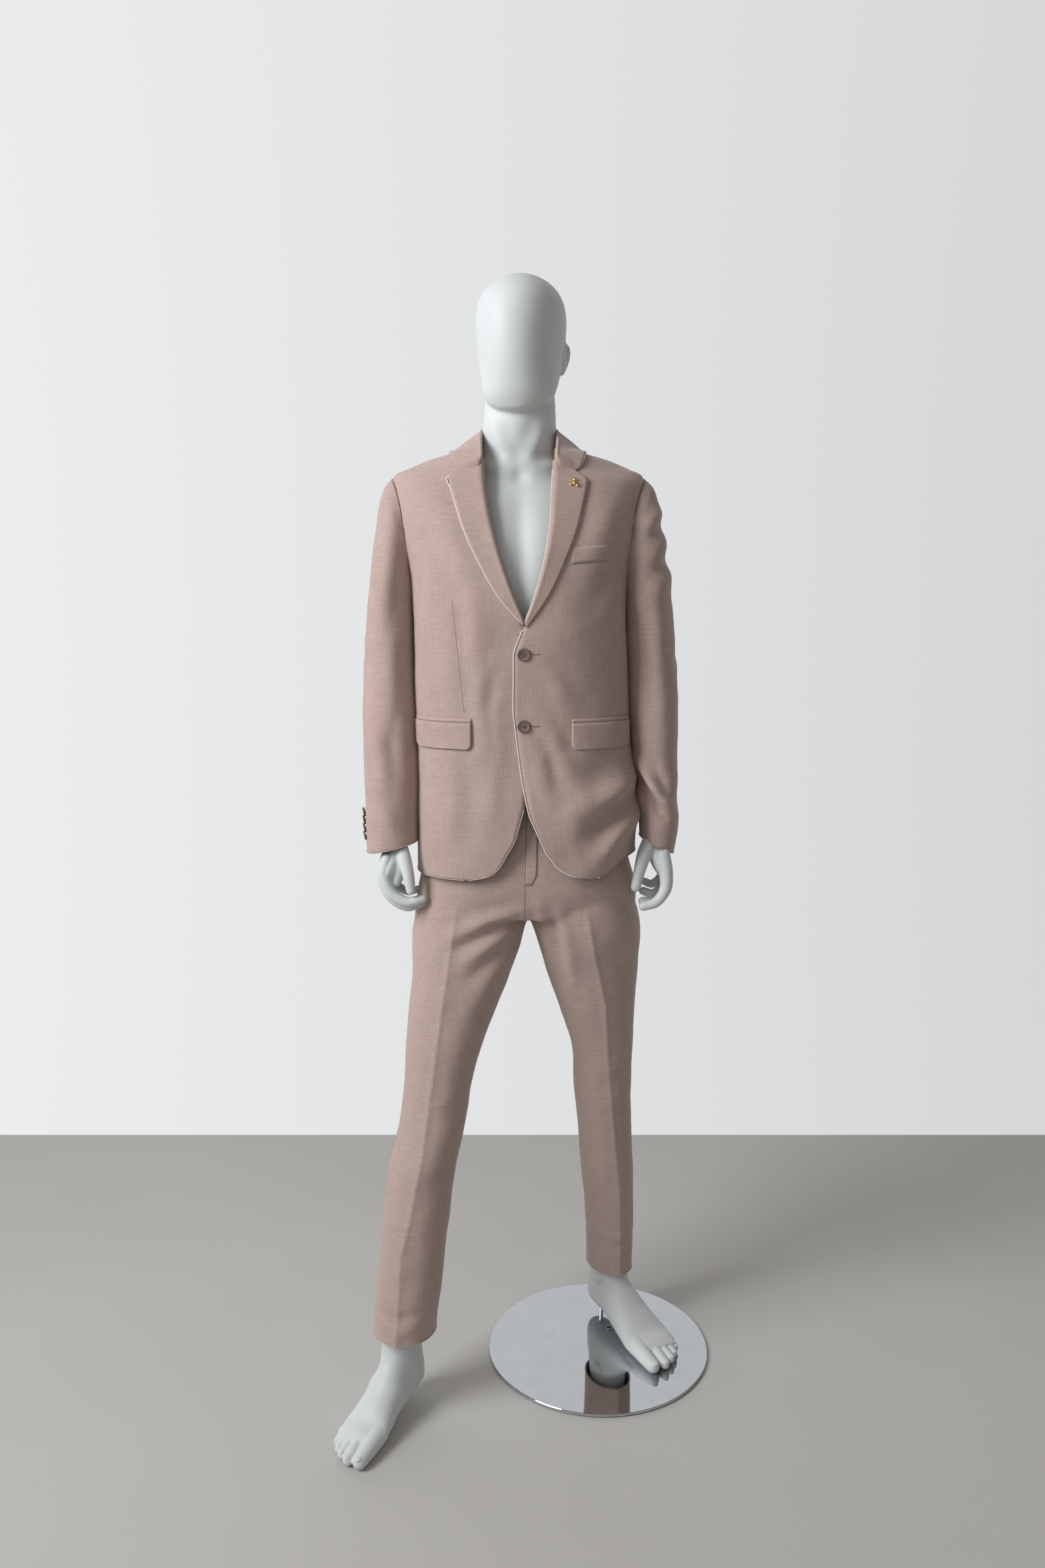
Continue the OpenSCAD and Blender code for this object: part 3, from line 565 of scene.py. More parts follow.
def make_hand(side, palm, digits, facing):
    """A relaxed hand. palm holds [x, y, z, half width, half thickness, squareness] from the wrist."""
    shapes = [closed_loft(rings_of([[x, y, z, facing, 0, w, d, n] for x, y, z, w, d, n in palm],
                                   2.0, 40))]
    for joints in digits:
        shapes.append(tube([j[:3] for j in joints], [j[3] for j in joints], sides=20, gap=1.5))
    obj = mould(side + "_hand_skin", shapes, 1.2, 4, SKIN)
    attach(obj, side + "_hand", side + "_hand", slot="body_shell")


def make_hands():
    """Each digit is a list of [x, y, z, radius]: four fingers, the thumb and the ball of the thumb."""
    make_hand("right", [
        [-354, -38, 986, 25, 17, 2], [-353, -39, 966, 26, 17, 2], [-356, -43, 946, 33, 16.5, 2.1],
        [-362, -46, 926, 38, 15.5, 2.3], [-368, -46, 908, 38.5, 13, 2.4], [-370, -46, 901, 35, 10, 2.4],
    ], [
        [[-366, -73, 940, 9], [-371, -76, 914, 10], [-354, -82, 878, 9.2], [-329, -84, 867, 8.4],
         [-306, -82, 873, 7.4]],
        [[-370, -57, 938, 9], [-375, -56, 908, 10.2], [-358, -62, 868, 9.4], [-332, -64, 855, 8.6],
         [-307, -62, 862, 7.6]],
        [[-370, -40, 938, 9], [-375, -37, 909, 9.8], [-360, -42, 871, 9], [-335, -44, 858, 8.2],
         [-311, -43, 863, 7.2]],
        [[-366, -25, 940, 8], [-369, -18, 915, 8.8], [-357, -21, 884, 8], [-337, -23, 871, 7.2],
         [-319, -24, 875, 6.4]],
        [[-350, -52, 966, 13], [-339, -72, 944, 12.5], [-329, -86, 912, 9.8], [-325, -90, 889, 8]],
        [[-352, -48, 966, 16], [-349, -60, 938, 15], [-348, -66, 914, 12.5], [-352, -70, 898, 9]],
    ], -90)
    make_hand("left", [
        [88, -30, 986, 25, 17, 2], [86, -32, 966, 27, 18.5, 2], [89, -38, 948, 33, 20, 2.1],
        [95, -43, 930, 38, 18.5, 2.3], [100, -44, 914, 38, 15, 2.4], [102, -44, 907, 35, 12, 2.4],
    ], [
        [[97, -68, 944, 12], [101, -73, 920, 12], [99, -80, 886, 9.8], [84, -84, 867, 8.6],
         [63, -84, 860, 7.6]],
        [[99, -54, 942, 10], [104, -54, 917, 10.8], [102, -60, 880, 9.4], [84, -64, 863, 8.4],
         [64, -64, 864, 7.5]],
        [[100, -38, 942, 9], [104, -36, 919, 9.8], [101, -40, 886, 8.8], [83, -44, 872, 8],
         [66, -44, 877, 7]],
        [[98, -24, 944, 8], [102, -19, 923, 8.6], [98, -22, 895, 8], [82, -26, 885, 7.2],
         [69, -27, 890, 6.4]],
        [[80, -48, 968, 15], [67, -64, 948, 13], [56, -80, 918, 9.8], [50, -86, 894, 8.4]],
        [[88, -40, 968, 14], [84, -56, 950, 12], [86, -62, 936, 10]],
    ], 90)


# ---------- jacket ----------
COAT = smooth_rows([  # middle x, middle y, height, half width, half depth, squareness
    [-132, -2, 913, 187, 129, 2.6], [-131, -2, 960, 188, 131, 2.6], [-130, -2, 1020, 189, 130, 2.6],
    [-134, -2, 1080, 185, 125, 2.5], [-137, -2, 1130, 182, 123, 2.5], [-140, -2, 1210, 180, 125, 2.5],
    [-142, -2, 1290, 178, 131, 2.5], [-144, -2, 1350, 177, 133, 2.5], [-145, -1, 1400, 180, 131, 2.5],
    [-145, 1, 1450, 189, 126, 2.6], [-146, 4, 1500, 199, 113, 2.65], [-146, 7, 1540, 207, 98, 2.5],
    [-146, 9, 1560, 209, 91, 2.3], [-146, 10, 1568, 206, 88, 2.1], [-146, 11, 1580, 184, 85, 2],
    [-146, 11, 1592, 155, 83, 2], [-146, 11, 1603, 116, 81, 2], [-146, 11, 1608, 94, 79, 2],
], 4.0, by=(2, 3))

ROLL_RIGHT = [(-137, 1330), (-154, 1373), (-178, 1444), (-198, 1532), (-204, 1590), (-205, 1610)]
ROLL_LEFT = [(-135, 1330), (-127, 1349), (-110, 1401), (-96, 1468), (-90, 1553), (-88, 1588), (-87, 1610)]
TOP_EDGE = [(-14, 913), (-40, 919), (-64, 925), (-80, 934), (-101, 962), (-129, 1024), (-141, 1085),
            (-154, 1192), (-153, 1287), (-137, 1326)] + ROLL_LEFT
UNDER_EDGE = [(-226, 913), (-209, 915), (-190, 923), (-178, 933), (-151, 980), (-135, 1038),
              (-126, 1085), (-122, 1192), (-124, 1287), (-135, 1326)] + ROLL_RIGHT
ARMHOLE = (6, 1488, 36, 52)                         # y, height, and half sizes of the hole at the side
CHEST_CENTRE = np.array([MID, 6, 1490])             # the armhole seams stand out from here
HEM_RISE = 33


FRONT_FOLDS = [  # height, width, path as seen from the front
    (3.5, 22, [(-300, 1545), (-262, 1490), (-232, 1430)]),
    (-2.4, 15, [(-318, 1480), (-270, 1440), (-245, 1385)]),
    (2.6, 20, [(-222, 1400), (-214, 1330), (-216, 1262)]),
    (-2.2, 13, [(-238, 1372), (-236, 1280), (-234, 1190)]),
    (2.4, 13, [(-196, 1262), (-206, 1210), (-196, 1150), (-205, 1080)]),
    (2.2, 12, [(-172, 1240), (-184, 1190), (-176, 1130), (-188, 1060), (-182, 1000)]),
    (-2.2, 10, [(-186, 1250), (-194, 1195), (-186, 1140)]),
    (2.6, 16, [(-266, 1120), (-255, 1050), (-262, 970)]),
    (-1.8, 14, [(-228, 1110), (-222, 1040), (-228, 960)]),
    (3.2, 20, [(10, 1535), (-8, 1480), (-30, 1420)]),
    (-2.2, 14, [(32, 1440), (0, 1400), (-36, 1350)]),
    (2.6, 14, [(-112, 1262), (-88, 1242), (-62, 1200)]),
    (3.0, 13, [(-118, 1180), (-92, 1150), (-72, 1100)]),
    (-2.6, 11, [(-112, 1158), (-92, 1120), (-86, 1070)]),
    (3.2, 16, [(-116, 1136), (-106, 1080), (-84, 1022)]),
    (11.0, 24, [(54, 1088), (22, 1060), (-16, 1042), (-52, 1030)]),
    (-7.0, 18, [(56, 1040), (22, 1014), (-20, 992)]),
    (9.0, 22, [(60, 1014), (34, 980), (2, 950), (-30, 930)]),
    (3.0, 18, [(-60, 1106), (-46, 1050), (-60, 980)]),
]
BACK_FOLDS = [
    (4, 24, [(-40, 1560), (-70, 1440), (-60, 1330)]), (4, 24, [(-252, 1560), (-222, 1440), (-232, 1330)]),
    (3, 18, [(-230, 1180), (-150, 1166), (-62, 1182)]), (-6, 40, [(MID, 1500), (MID, 1300), (MID, 1120)]),
    (-2.4, 8, [(MID, 1590), (MID, 1200), (MID, 920)]),
]


def edge_at(edge, z):
    """Where an edge of (x, z) points lies at a height."""
    return np.interp(z, [p[1] for p in edge], [p[0] for p in edge])


def lifted_hem(points):
    """The hem rides up over the figure's left hip."""
    x, z = points[..., 0], points[..., 2]
    points[..., 2] += HEM_RISE * ease(x, -30, 46) * (1 - ease(z, 914, 1090))
    return points


def coat_grid(high_edge, low_edge, cols):
    """The jacket's cloth, from one front edge round the back to the other. None closes the front."""
    grid = []
    for cx, cy, z, w, d, n in COAT:
        if high_edge is None:
            a = np.linspace(np.pi / 2, np.pi / 2 - 2 * np.pi, cols, endpoint=False)
        else:
            top = np.clip((edge_at(high_edge, z) - cx) / w, -0.999, 0.999)
            low = np.clip((edge_at(low_edge, z) - cx) / w, -0.999, 0.999)
            start = np.arccos(np.sign(top) * abs(top) ** (n / 2))
            end = np.arccos(np.sign(low) * abs(low) ** (n / 2)) - 2 * np.pi
            a = np.linspace(start, end, cols)
        grid.append(np.column_stack([cx + w * bend(np.cos(a), 2 / n), cy - d * bend(np.sin(a), 2 / n),
                                     np.full(cols, z)]))
    return np.array(grid)


def outward(grid, closed):
    """Each grid point's direction away from the body."""
    across = np.roll(grid, -1, 1) - np.roll(grid, 1, 1) if closed else np.gradient(grid, axis=1)
    normal = unit(np.cross(across, np.gradient(grid, axis=0)))
    away = grid - grid.mean(axis=1, keepdims=True)
    return normal if (normal * away).sum() > 0 else -normal


def draped_coat(grid, closed):
    """The even form with its folds, pulls and lifted hem."""
    normal = outward(grid, closed)
    front = ease(-normal[..., 1], -0.25, 0.35)
    x, z = grid[..., 0], grid[..., 2]
    depth = folds(x, z, FRONT_FOLDS) * front + folds(x, z, BACK_FOLDS) * (1 - front)
    depth += cloth_ripple(grid, 55, 1.1, 22, 500)
    return lifted_hem(grid + normal * depth[..., None])


# The closed form that the lapels, flaps and buttons lie on.
COAT_FORM = tree_of(draped_coat(coat_grid(None, None, 260), True))


def coat_hit(x, z):
    """Where the jacket's front lies at x and z, in metres, and its direction there, or two Nones."""
    return COAT_FORM.ray_cast(Vector((x * MM, -1, z * MM)), Vector((0, 1, 0)))[:2]


def on_coat(x, z, out):
    """The point in mm that lies out from the jacket's front at x and z."""
    hit, normal = coat_hit(x, z)
    normal = normal if normal.y < 0 else -normal
    return np.array(hit) / MM + np.array(normal) * out


def clear_of_coat(points, out):
    """Points moved so that none lies nearer than out to the jacket's form."""
    moved = []
    for p in points:
        hit, normal = COAT_FORM.find_nearest(Vector(p * MM))[:2]
        hit, normal = np.array(hit) / MM, np.array(normal)
        away = hit - np.array([MID, 11, p[2]])
        normal = normal if normal @ away > 0 or normal[2] > 0.6 else -normal
        gap = (p - hit) @ normal
        moved.append(p + normal * max(0.0, out - gap))
    return np.array(moved)


def lined_cloth(name, grid, closed, thick, hole=None):
    """A sewn cloth with a lining from a grid, but for the faces whose points all lie in the hole."""
    rows, cols = grid.shape[:2]
    flat = grid.reshape(-1, 3)
    faces = grid_faces(rows, cols, closed)
    a, b, c = (flat[[f[i] for f in faces]] for i in (0, 1, 3))
    middle = grid.mean(axis=1, keepdims=True).repeat(cols, 1).reshape(-1, 3)
    away = a - middle[[f[0] for f in faces]]
    if (np.cross(b - a, c - a) * away).sum() < 0:
        faces = [f[::-1] for f in faces]
    if hole is not None:
        faces = [f for f in faces if not all(hole[v] for v in f)]
    obj = make(name, (flat, faces), SUIT)
    obj.data.materials.append(LINING_AND_HOLE_SHADE)
    modify(obj, "SOLIDIFY", thickness=thick * MM, offset=-1.0, material_offset=1)
    return obj


def flat_cloth(name, grid, thick, offset=0.0, flip=False):
    """A thin open piece of cloth from a grid."""
    obj = make(name, (grid.reshape(-1, 3), grid_faces(*grid.shape[:2], False, flip)), SUIT)
    modify(obj, "SOLIDIFY", thickness=thick * MM, offset=offset)
    return obj


def edge_line(name, points, radius, material, gap=3.0):
    """A fine rounded line of cloth along an edge or seam: pale edge lines are painted highlight, dark seam
    lines painted shade.
    """
    return make(name, tube(points, [radius] * len(points), sides=8, gap=gap), material)


def overlapped(grid):
    """The left front lies over the right front, so its cloth stands a little further out."""
    normal = outward(grid, False)
    share = np.linspace(0, 1, grid.shape[1])[None, :]
    low = 1 - ease(grid[..., 2], 1300, 1345)
    out = 2.9 * (1 - ease(share, 0.03, 0.13)) * low - 0.8 * ease(share, 0.93, 0.98) * low
    return grid + normal * out[..., None]


def make_jacket():
    """The body of the jacket, with a hole for each arm and a turned edge at the fronts and hem."""
    grid = overlapped(draped_coat(coat_grid(TOP_EDGE, UNDER_EDGE, 250), False))
    x, y, z = grid.reshape(-1, 3).T
    middle, height, deep, tall = ARMHOLE
    hole = (((y - middle) / deep) ** 2 + ((z - height) / tall) ** 2 < 1) & (np.abs(x - MID) > 150)
    attach(lined_cloth("jacket", grid, False, 2.2, hole), "torso", "jacket_body")
    top = [p for p in grid[:, 0] if p[2] < 1330][::3]
    under = [p for p in grid[:, -1] if p[2] < 1040][::3]
    # The front edge's pale line is a painted highlight; the under and hem edges are plain cloth.
    for name, line, radius, material in (("jacket_front_edge", top, 1.15, EDGE_HIGHLIGHT),
                                         ("jacket_under_edge", under, 0.9, SUIT),
                                         ("jacket_hem_edge", grid[0, ::6], 0.9, SUIT)):
        attach(edge_line(name, line, radius, material), "torso")


def smooth_line(points, count):
    """count points, [x, z], spaced evenly along a smooth curve."""
    rows = smooth_rows([[x, 0, z] for x, z in points], 2.0)
    pick = np.linspace(0, len(rows) - 1, count).round().astype(int)
    return rows[pick][:, [0, 2]]


def lapel(side, roll, outer, way):
    """A lapel folds back along the roll line and lies flat to its outer edge. way is towards the roll."""
    rows = 70
    inner = smooth_line(roll, rows)
    corner = smooth_line(outer[:-2], rows - 10)
    tip = np.linspace(outer[-3], outer[-2], 4)[1:]
    notch = np.linspace(outer[-2], outer[-1], 8)[1:]
    edge = np.vstack([corner, tip, notch])
    grid = []
    for (xi, zi), (xe, ze) in zip(inner, edge):
        wide = math.hypot(xe - xi, ze - zi)
        line = [on_coat(xi - way * 1.5, zi, 0.3)]
        line.append(on_coat(xi, zi, 0.4) + [way * min(2.0, wide * 0.3), 0, 0])
        for share in np.linspace(0.06, 1, 12):
            x, z = xi + (xe - xi) * share, zi + (ze - zi) * share
            roll_out = 3.0 + 2.2 * math.exp(-share * 6) * min(1, wide / 30)
            line.append(on_coat(x, z, roll_out - 0.9 * share))
        grid.append(line)
    grid = np.array(grid)
    obj = flat_cloth(side + "_lapel_cloth", grid, 1.6, -1.0, way < 0)
    attach(obj, "torso", side + "_lapel")
    edge_out = [p + [0, -0.3, 0] for p in grid[2:-1:2, -1]]
    # The right lapel's outer edge and the left lapel's roll face the key, so their pale lines are painted
    # highlight; the left lapel's outer edge is plain cloth.
    if side == "right":
        attach(edge_line("right_lapel_edge", edge_out, 1.1, EDGE_HIGHLIGHT), "torso")
    else:
        attach(edge_line("left_lapel_edge", edge_out, 0.8, SUIT), "torso")
        roll_line = [p + [-0.3, -0.4, 0] for p in grid[1:-4:2, 1]]
        attach(edge_line("left_roll_edge", roll_line, 1.0, EDGE_HIGHLIGHT), "torso")


def make_lapels():
    """Each outer edge runs from the top button to the lapel's corner and on to the notch."""
    lapel("right", ROLL_RIGHT[:-1], [(-138, 1328), (-178, 1375), (-207, 1425), (-231, 1475),
                                     (-249, 1529), (-258, 1561), (-234, 1580)], 1)
    lapel("left", ROLL_LEFT[:-1], [(-133, 1326), (-96, 1379), (-72, 1430), (-53, 1478),
                                   (-38, 1538), (-35, 1556), (-60, 1573)], -1)


COLLAR = [  # roll line x, y, z and outer edge x, y, z, from the right notch to near the middle back
    [-210, -80, 1571, -226, -74, 1567], [-205, -76, 1588, -246, -64, 1579],
    [-205, -60, 1606, -252, -46, 1589], [-207, -30, 1629, -256, -18, 1600],
    [-206, 4, 1643, -252, 10, 1606], [-199, 38, 1650, -232, 48, 1606],
    [-180, 64, 1654, -196, 80, 1602], [-160, 76, 1656, -168, 94, 1599],
]
COLLAR_DROP = (1, 2, 1.5, 0.5, 0, 0, 0, 0)          # how much lower and wider the left end lies
END_ROWS = 9                                        # rows over which the collar's ends come to lie flat
FALL_START = 5                                      # the first column outside the roll


def collar_rows():
    """Both halves of the collar and its middle back, resampled evenly."""
    other = [[2 * MID - x + 3, y, z, 2 * MID - edge_x - 2 * drop, edge_y, edge_z - 2 * drop]
             for (x, y, z, edge_x, edge_y, edge_z), drop in zip(COLLAR, COLLAR_DROP)]
    return smooth_rows(COLLAR + [[MID, 79, 1657, MID, 98, 1598]] + other[::-1], 4.0)


def collar_section(roll, edge):
    """Across the collar: up the inner stand, over the roll and down to the outer edge."""
    inward = unit(np.array([MID - roll[0], 10 - roll[1], 0]))
    stand = roll + inward * 1.5 - [0, 0, min(34, max(1, roll[2] - 1586))]
    over = [roll + inward * 2.2 - [0, 0, 5], roll + inward * 1.2 - [0, 0, 1.2],
            roll - inward * 0.4, roll - inward * 2.2 - [0, 0, 1.0]]
    start = roll - inward * 3.4 - [0, 0, 3.4]
    fall = [start + (edge - start) * s - inward * 2.4 * math.sin(math.pi * s)
            for s in np.linspace(0.1, 1, 9)]
    return [stand, *over, start, *fall]


def lay_row(row, share):
    """Brings one row of the collar back onto the jacket's front by a share, so that its end lies flat."""
    back = 0.0
    for column in reversed(range(FALL_START, len(row))):
        x, y, z = row[column]
        if coat_hit(x, z)[0]:
            back = share * (on_coat(x, z, 2.0)[1] - y)
            row[column, 1] += back
    row[:FALL_START, 1] += back


def make_collar():
    """The stand round the neck and the fall that folds over it, from notch to notch."""
    grid = np.array([collar_section(r[:3], r[3:]) for r in collar_rows()])
    fall = grid[:, FALL_START:]
    grid[:, FALL_START:] = clear_of_coat(fall.reshape(-1, 3), 3.4).reshape(fall.shape)
    for k in range(END_ROWS):
        share = 1 - ease(k, 0, END_ROWS - 1)
        lay_row(grid[k], share)
        lay_row(grid[-1 - k], share)
    attach(flat_cloth("collar_cloth", grid, 1.8), "torso", "jacket_collar")
    line = [p + [0, -0.2, 0.2] for p in grid[1:-1:2, -1]]
    attach(edge_line("collar_edge", line, 0.9, SUIT), "torso")


def lying(name, rows, out, cols, thick):
    """A flat piece of cloth that lies on the jacket. rows are [height, low x, high x]."""
    return flat_cloth(name, np.array([[on_coat(x, z, out) for x in np.linspace(low, high, cols)]
                                      for z, low, high in rows]), thick)


def rounded_rows(low_z, high_z, low_x, high_x, corner):
    """Rows of an oblong whose two lower corners are rounded."""
    rows = []
    for z in np.concatenate([low_z + corner * (1 - np.cos(np.linspace(0, np.pi / 2, 6))),
                             np.linspace(low_z + corner, high_z, 8)[1:]]):
        cut = corner - math.sqrt(max(0, corner**2 - max(0, low_z + corner - z) ** 2))
        rows.append([z, low_x + cut, high_x - cut])
    return rows


FLAPS = {"right": (-313, -221), "left": (-60, 36)}  # low and high x
FLAP_TOP = 1172
FLAP_TALL = 43
FLAP_CORNER = 9
WELT_X = (-62, 1)
WELT_Z = (1424, 1449)
WELT_SLOPE = 0.1                                    # the breast welt rises towards the arm


def make_flap(side, low, high):
    """A hip pocket's flap, the jet of cloth above it and the slit between them; the slit and the line under
    the flap are painted shade.
    """
    flap = lying(side + "_flap_cloth",
                 rounded_rows(FLAP_TOP - FLAP_TALL, FLAP_TOP, low, high, FLAP_CORNER), 3.2, 26, 1.8)
    attach(flap, "torso", side + "_pocket_flap")
    jet = [[FLAP_TOP + up, low, high] for up in (1, 3, 7)]
    attach(lying(side + "_pocket_jet", jet, 1.6, 26, 1.6), "torso")
    slit = [on_coat(x, FLAP_TOP + 0.4, 2.2) for x in np.linspace(low, high, 20)]
    attach(edge_line(side + "_pocket_slit", slit, 0.8, SEAM_SHADE), "torso")
    under = [on_coat(x, FLAP_TOP - FLAP_TALL - 0.4, 1.2)
             for x in np.linspace(low + FLAP_CORNER, high - FLAP_CORNER, 16)]
    attach(edge_line(side + "_flap_shade", under, 0.9, SEAM_SHADE), "torso")


def make_pockets():
    """Two hip pockets and the welt of the breast pocket."""
    for side, (low, high) in FLAPS.items():
        make_flap(side, low, high)
    low, high = WELT_X
    welt = lying("welt_cloth", [[z, low + (z - WELT_Z[0]) * 0.05, high] for z in np.linspace(*WELT_Z, 6)],
                 0.3, 22, 1.1)
    for v in welt.data.vertices:
        v.co.z += (v.co.x / MM - low) * WELT_SLOPE * MM
    attach(welt, "torso", "breast_welt")
    # The welt's lower seam, a fine line of painted shade.
    line = [on_coat(x, WELT_Z[0] - 1 + (x - low) * WELT_SLOPE, 0.0) for x in np.linspace(low, high, 16)]
    attach(edge_line("welt_seam", line, 0.35, SEAM_SHADE), "torso")


def make_darts():
    """A sewn dart down each front, from below the chest to the pocket, drawn as a fine line of painted
    shade.
    """
    for name, top, low in (("right_dart", (-251, 1369), (-233, 1188)),
                           ("left_dart", (-45, 1295), (-47, 1186))):
        line = [on_coat(x, z, -0.15) for x, z in np.linspace(top, low, 24)]
        attach(edge_line(name, line, 0.5, SEAM_SHADE), "torso")


# ---------- sleeves ----------
SLEEVES = {  # upper or outer x and z, lower or inner x and z, middle y, half depth, seam bulge
    "right": [
        [-359, 1567, -319, 1410, 6, 52, 12], [-369, 1548, -319, 1404, 6, 60, 8],
        [-378, 1516, -318, 1396, 6, 66, 4], [-385, 1476, -317, 1386, 6, 69, 2],
        [-391, 1431, -317, 1370, 6, 70, 0], [-397, 1385, -317, 1350, 7, 70, 0],
        [-402, 1330, -317, 1316, 8, 68, 0], [-407, 1250, -316, 1246, 8, 66, 0],
        [-410, 1190, -314, 1188, -1, 64, 0], [-409, 1120, -312, 1122, -12, 60, 0],
        [-406, 1050, -312, 1056, -24, 56, 0], [-404, 990, -314, 1002, -32, 52, 0],
        [-403, 946, -316, 966, -37, 50, 0]],
    "left": [
        [68, 1566, 27, 1408, 6, 52, -12], [79, 1547, 27, 1402, 6, 60, -8],
        [88, 1516, 27, 1394, 6, 66, -4], [95, 1478, 28, 1384, 6, 69, -2],
        [101, 1438, 29, 1370, 6, 70, 0], [108, 1398, 30, 1352, 7, 70, 0],
        [114, 1350, 31, 1322, 8, 68, 0], [121, 1262, 35, 1250, 8, 66, 0],
        [125, 1196, 39, 1188, 0, 64, 0], [124, 1120, 45, 1112, -8, 60, 0],
        [124, 1050, 54, 1058, -18, 56, 0], [127, 994, 59, 1010, -24, 50, 0],
        [118, 943, 60, 972, -28, 46, 0]],
}
SLEEVE_FOLDS = {
    "right": [
        (3.4, 16, [(-346, 1528), (-356, 1440), (-366, 1370), (-378, 1300)]),
        (-2.4, 11, [(-334, 1470), (-340, 1400), (-350, 1320)]),
        (2.2, 10, [(-372, 1470), (-384, 1400), (-392, 1330)]),
        (2.6, 14, [(-352, 1330), (-356, 1240), (-350, 1160)]),
        (3.0, 13, [(-398, 1180), (-378, 1120), (-366, 1060)]),
        (-2.0, 10, [(-344, 1200), (-356, 1130), (-350, 1060)]),
        (2.6, 12, [(-390, 1070), (-368, 1030), (-356, 985)]),
        (1.8, 9, [(-404, 1260), (-384, 1232), (-362, 1222)])],
    "left": [
        (3.4, 11, [(98, 1528), (80, 1500), (62, 1488)]),
        (-3.0, 9, [(104, 1504), (84, 1478), (66, 1466)]),
        (3.4, 11, [(108, 1478), (88, 1450), (66, 1438)]),
        (-2.8, 9, [(112, 1446), (92, 1422), (74, 1412)]),
        (3.4, 13, [(114, 1420), (92, 1388), (70, 1376)]),
        (2.6, 15, [(78, 1380), (82, 1290), (90, 1200)]),
        (-2.4, 11, [(62, 1340), (66, 1250), (72, 1160)]),
        (10.0, 9, [(56, 1102), (72, 1070), (90, 1042), (106, 1026)]),
        (-10.0, 8, [(54, 1082), (68, 1052), (84, 1026), (96, 1012)]),
        (3.0, 12, [(120, 1090), (108, 1050), (98, 1010)])],
}


def sleeve_grid(side):
    """Rings from the armhole to the cuff, with folds, the first ones drawn onto the jacket."""
    a = np.linspace(0, 2 * np.pi, 84, endpoint=False)
    across, ahead = bend(np.cos(a), 0.94), bend(np.sin(a), 0.94)
    grid = []
    for xo, zo, xi, zi, y, deep, bulge in smooth_rows(SLEEVES[side], 3.6):
        x = (xo + xi) / 2 + across * (xo - xi) / 2 + bulge * np.sin(a) ** 2
        z = (zo + zi) / 2 + across * (zo - zi) / 2
        grid.append(np.column_stack([x, y - deep * ahead, z]))
    grid = np.array(grid)
    normal = outward(grid, True)
    front = ease(-normal[..., 1], -0.3, 0.3)
    fade = ease(np.arange(len(grid)), 2, 9)[:, None]
    depth = cloth_ripple(grid, 42, 1.3, 18, 300)
    depth += folds(grid[..., 0], grid[..., 2], SLEEVE_FOLDS[side]) * (0.35 + 0.65 * front)
    crumple = ridge(grid[..., 1], grid[..., 2], 4, 14, [(60, 1300), (20, 1262), (-20, 1240)])
    grid = grid + normal * ((depth + crumple * (1 - front)) * fade)[..., None]
    seam = np.array([np.array(COAT_FORM.find_nearest(Vector(p * MM))[0]) / MM for p in grid[0]])
    pull = seam + 1.2 * unit(seam - CHEST_CENTRE) - grid[0]
    for row, share in enumerate((1, 0.72, 0.46, 0.26, 0.12, 0.04)):
        grid[row] += pull * share
    return grid


def make_sleeve(side):
    """A sleeve, its turned cuff and the seam round its armhole."""
    grid = sleeve_grid(side)
    obj = lined_cloth(side + "_sleeve_cloth", grid, True, 1.8)
    apply_all(obj)
    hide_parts(side + "_sleeve")
    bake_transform(obj)
    cuff = np.vstack([grid[-1], grid[-1, :1]])[::3]
    attach(edge_line(side + "_cuff_edge", cuff, 1.0, SUIT), side + "_arm")
    # The armhole seam, a line of painted shade.
    seam = [p for p in grid[0] if p[1] < 30 and p[2] > 1440][::3]
    seam = [p + 0.5 * unit(p - CHEST_CENTRE) for p in sorted(seam, key=lambda p: -p[2])]
    attach(edge_line(side + "_armhole_seam", seam, 0.7, SEAM_SHADE), "torso")
    return grid


# ---------- buttons and pin ----------
BUTTON_X = -137
BUTTON_Z = (1283, 1168)
BUTTON_RADIUS = 10.5
CUFF_BUTTON_RADIUS = 8
CUFF_BUTTON_Y = {"right": -46, "left": 6}
CUFF_BUTTON_Z = 974                                 # the lowest of the four
CUFF_BUTTON_STEP = 13
PIN_AT = (-57, 1549)


def turned(profile, sides=48):
    """A round shape about Z from [radius, height] points."""
    a = np.linspace(0, 2 * np.pi, sides, endpoint=False)
    return closed_loft(np.array([np.column_stack([r * np.cos(a), r * np.sin(a), np.full(sides, h)])
                                 for r, h in profile]))


def button_shapes(r):
    """A rimmed four-hole button, its face along +Z, and the thread through it. The holes are small
    near-black plugs, painted shade.
    """
    disc = turned([[0.5, 0], [r - 1.6, 0], [r - 0.5, 0.7], [r, 1.7], [r - 0.2, 2.7], [r - 0.9, 3.3],
                   [r - 1.9, 3.2], [r - 2.9, 2.4], [r - 4, 2.1], [1.0, 2.0], [0.4, 2.0]])
    away = r * 0.15
    points, faces = turned([[0.2, 1.6], [0.9, 1.62], [1.05, 2.12], [0.75, 2.2], [0.2, 2.1]], 14)
    holes = [(points + [x, y, 0], faces) for x in (-away, away) for y in (-away, away)]
    thread = [tube([[x, -away, 2.1], [x, -away * 0.4, 2.6], [x, away * 0.4, 2.6], [x, away, 2.1]],
                   [0.42] * 4, sides=8, gap=0.6) for x in (-away, away)]
    return disc, join(*holes), join(*thread)


def placed(shape, at, face):
    """A shape drawn along +Z, moved to a place and turned to face a direction."""
    turn = np.array(Vector((0, 0, 1)).rotation_difference(Vector(face)).to_matrix())
    return shape[0] @ turn.T + at, shape[1]


def make_button(name, at, face, r, material, body, node, slot):
    """One button with its holes and its thread."""
    parts = [make(name + end, placed(shape, at, face), look) for shape, end, look in
             zip(button_shapes(r), ("", "_holes", "_thread"), (material, LINING_AND_HOLE_SHADE, THREAD))]
    attach(merge(name, parts), body, node, slot=slot)


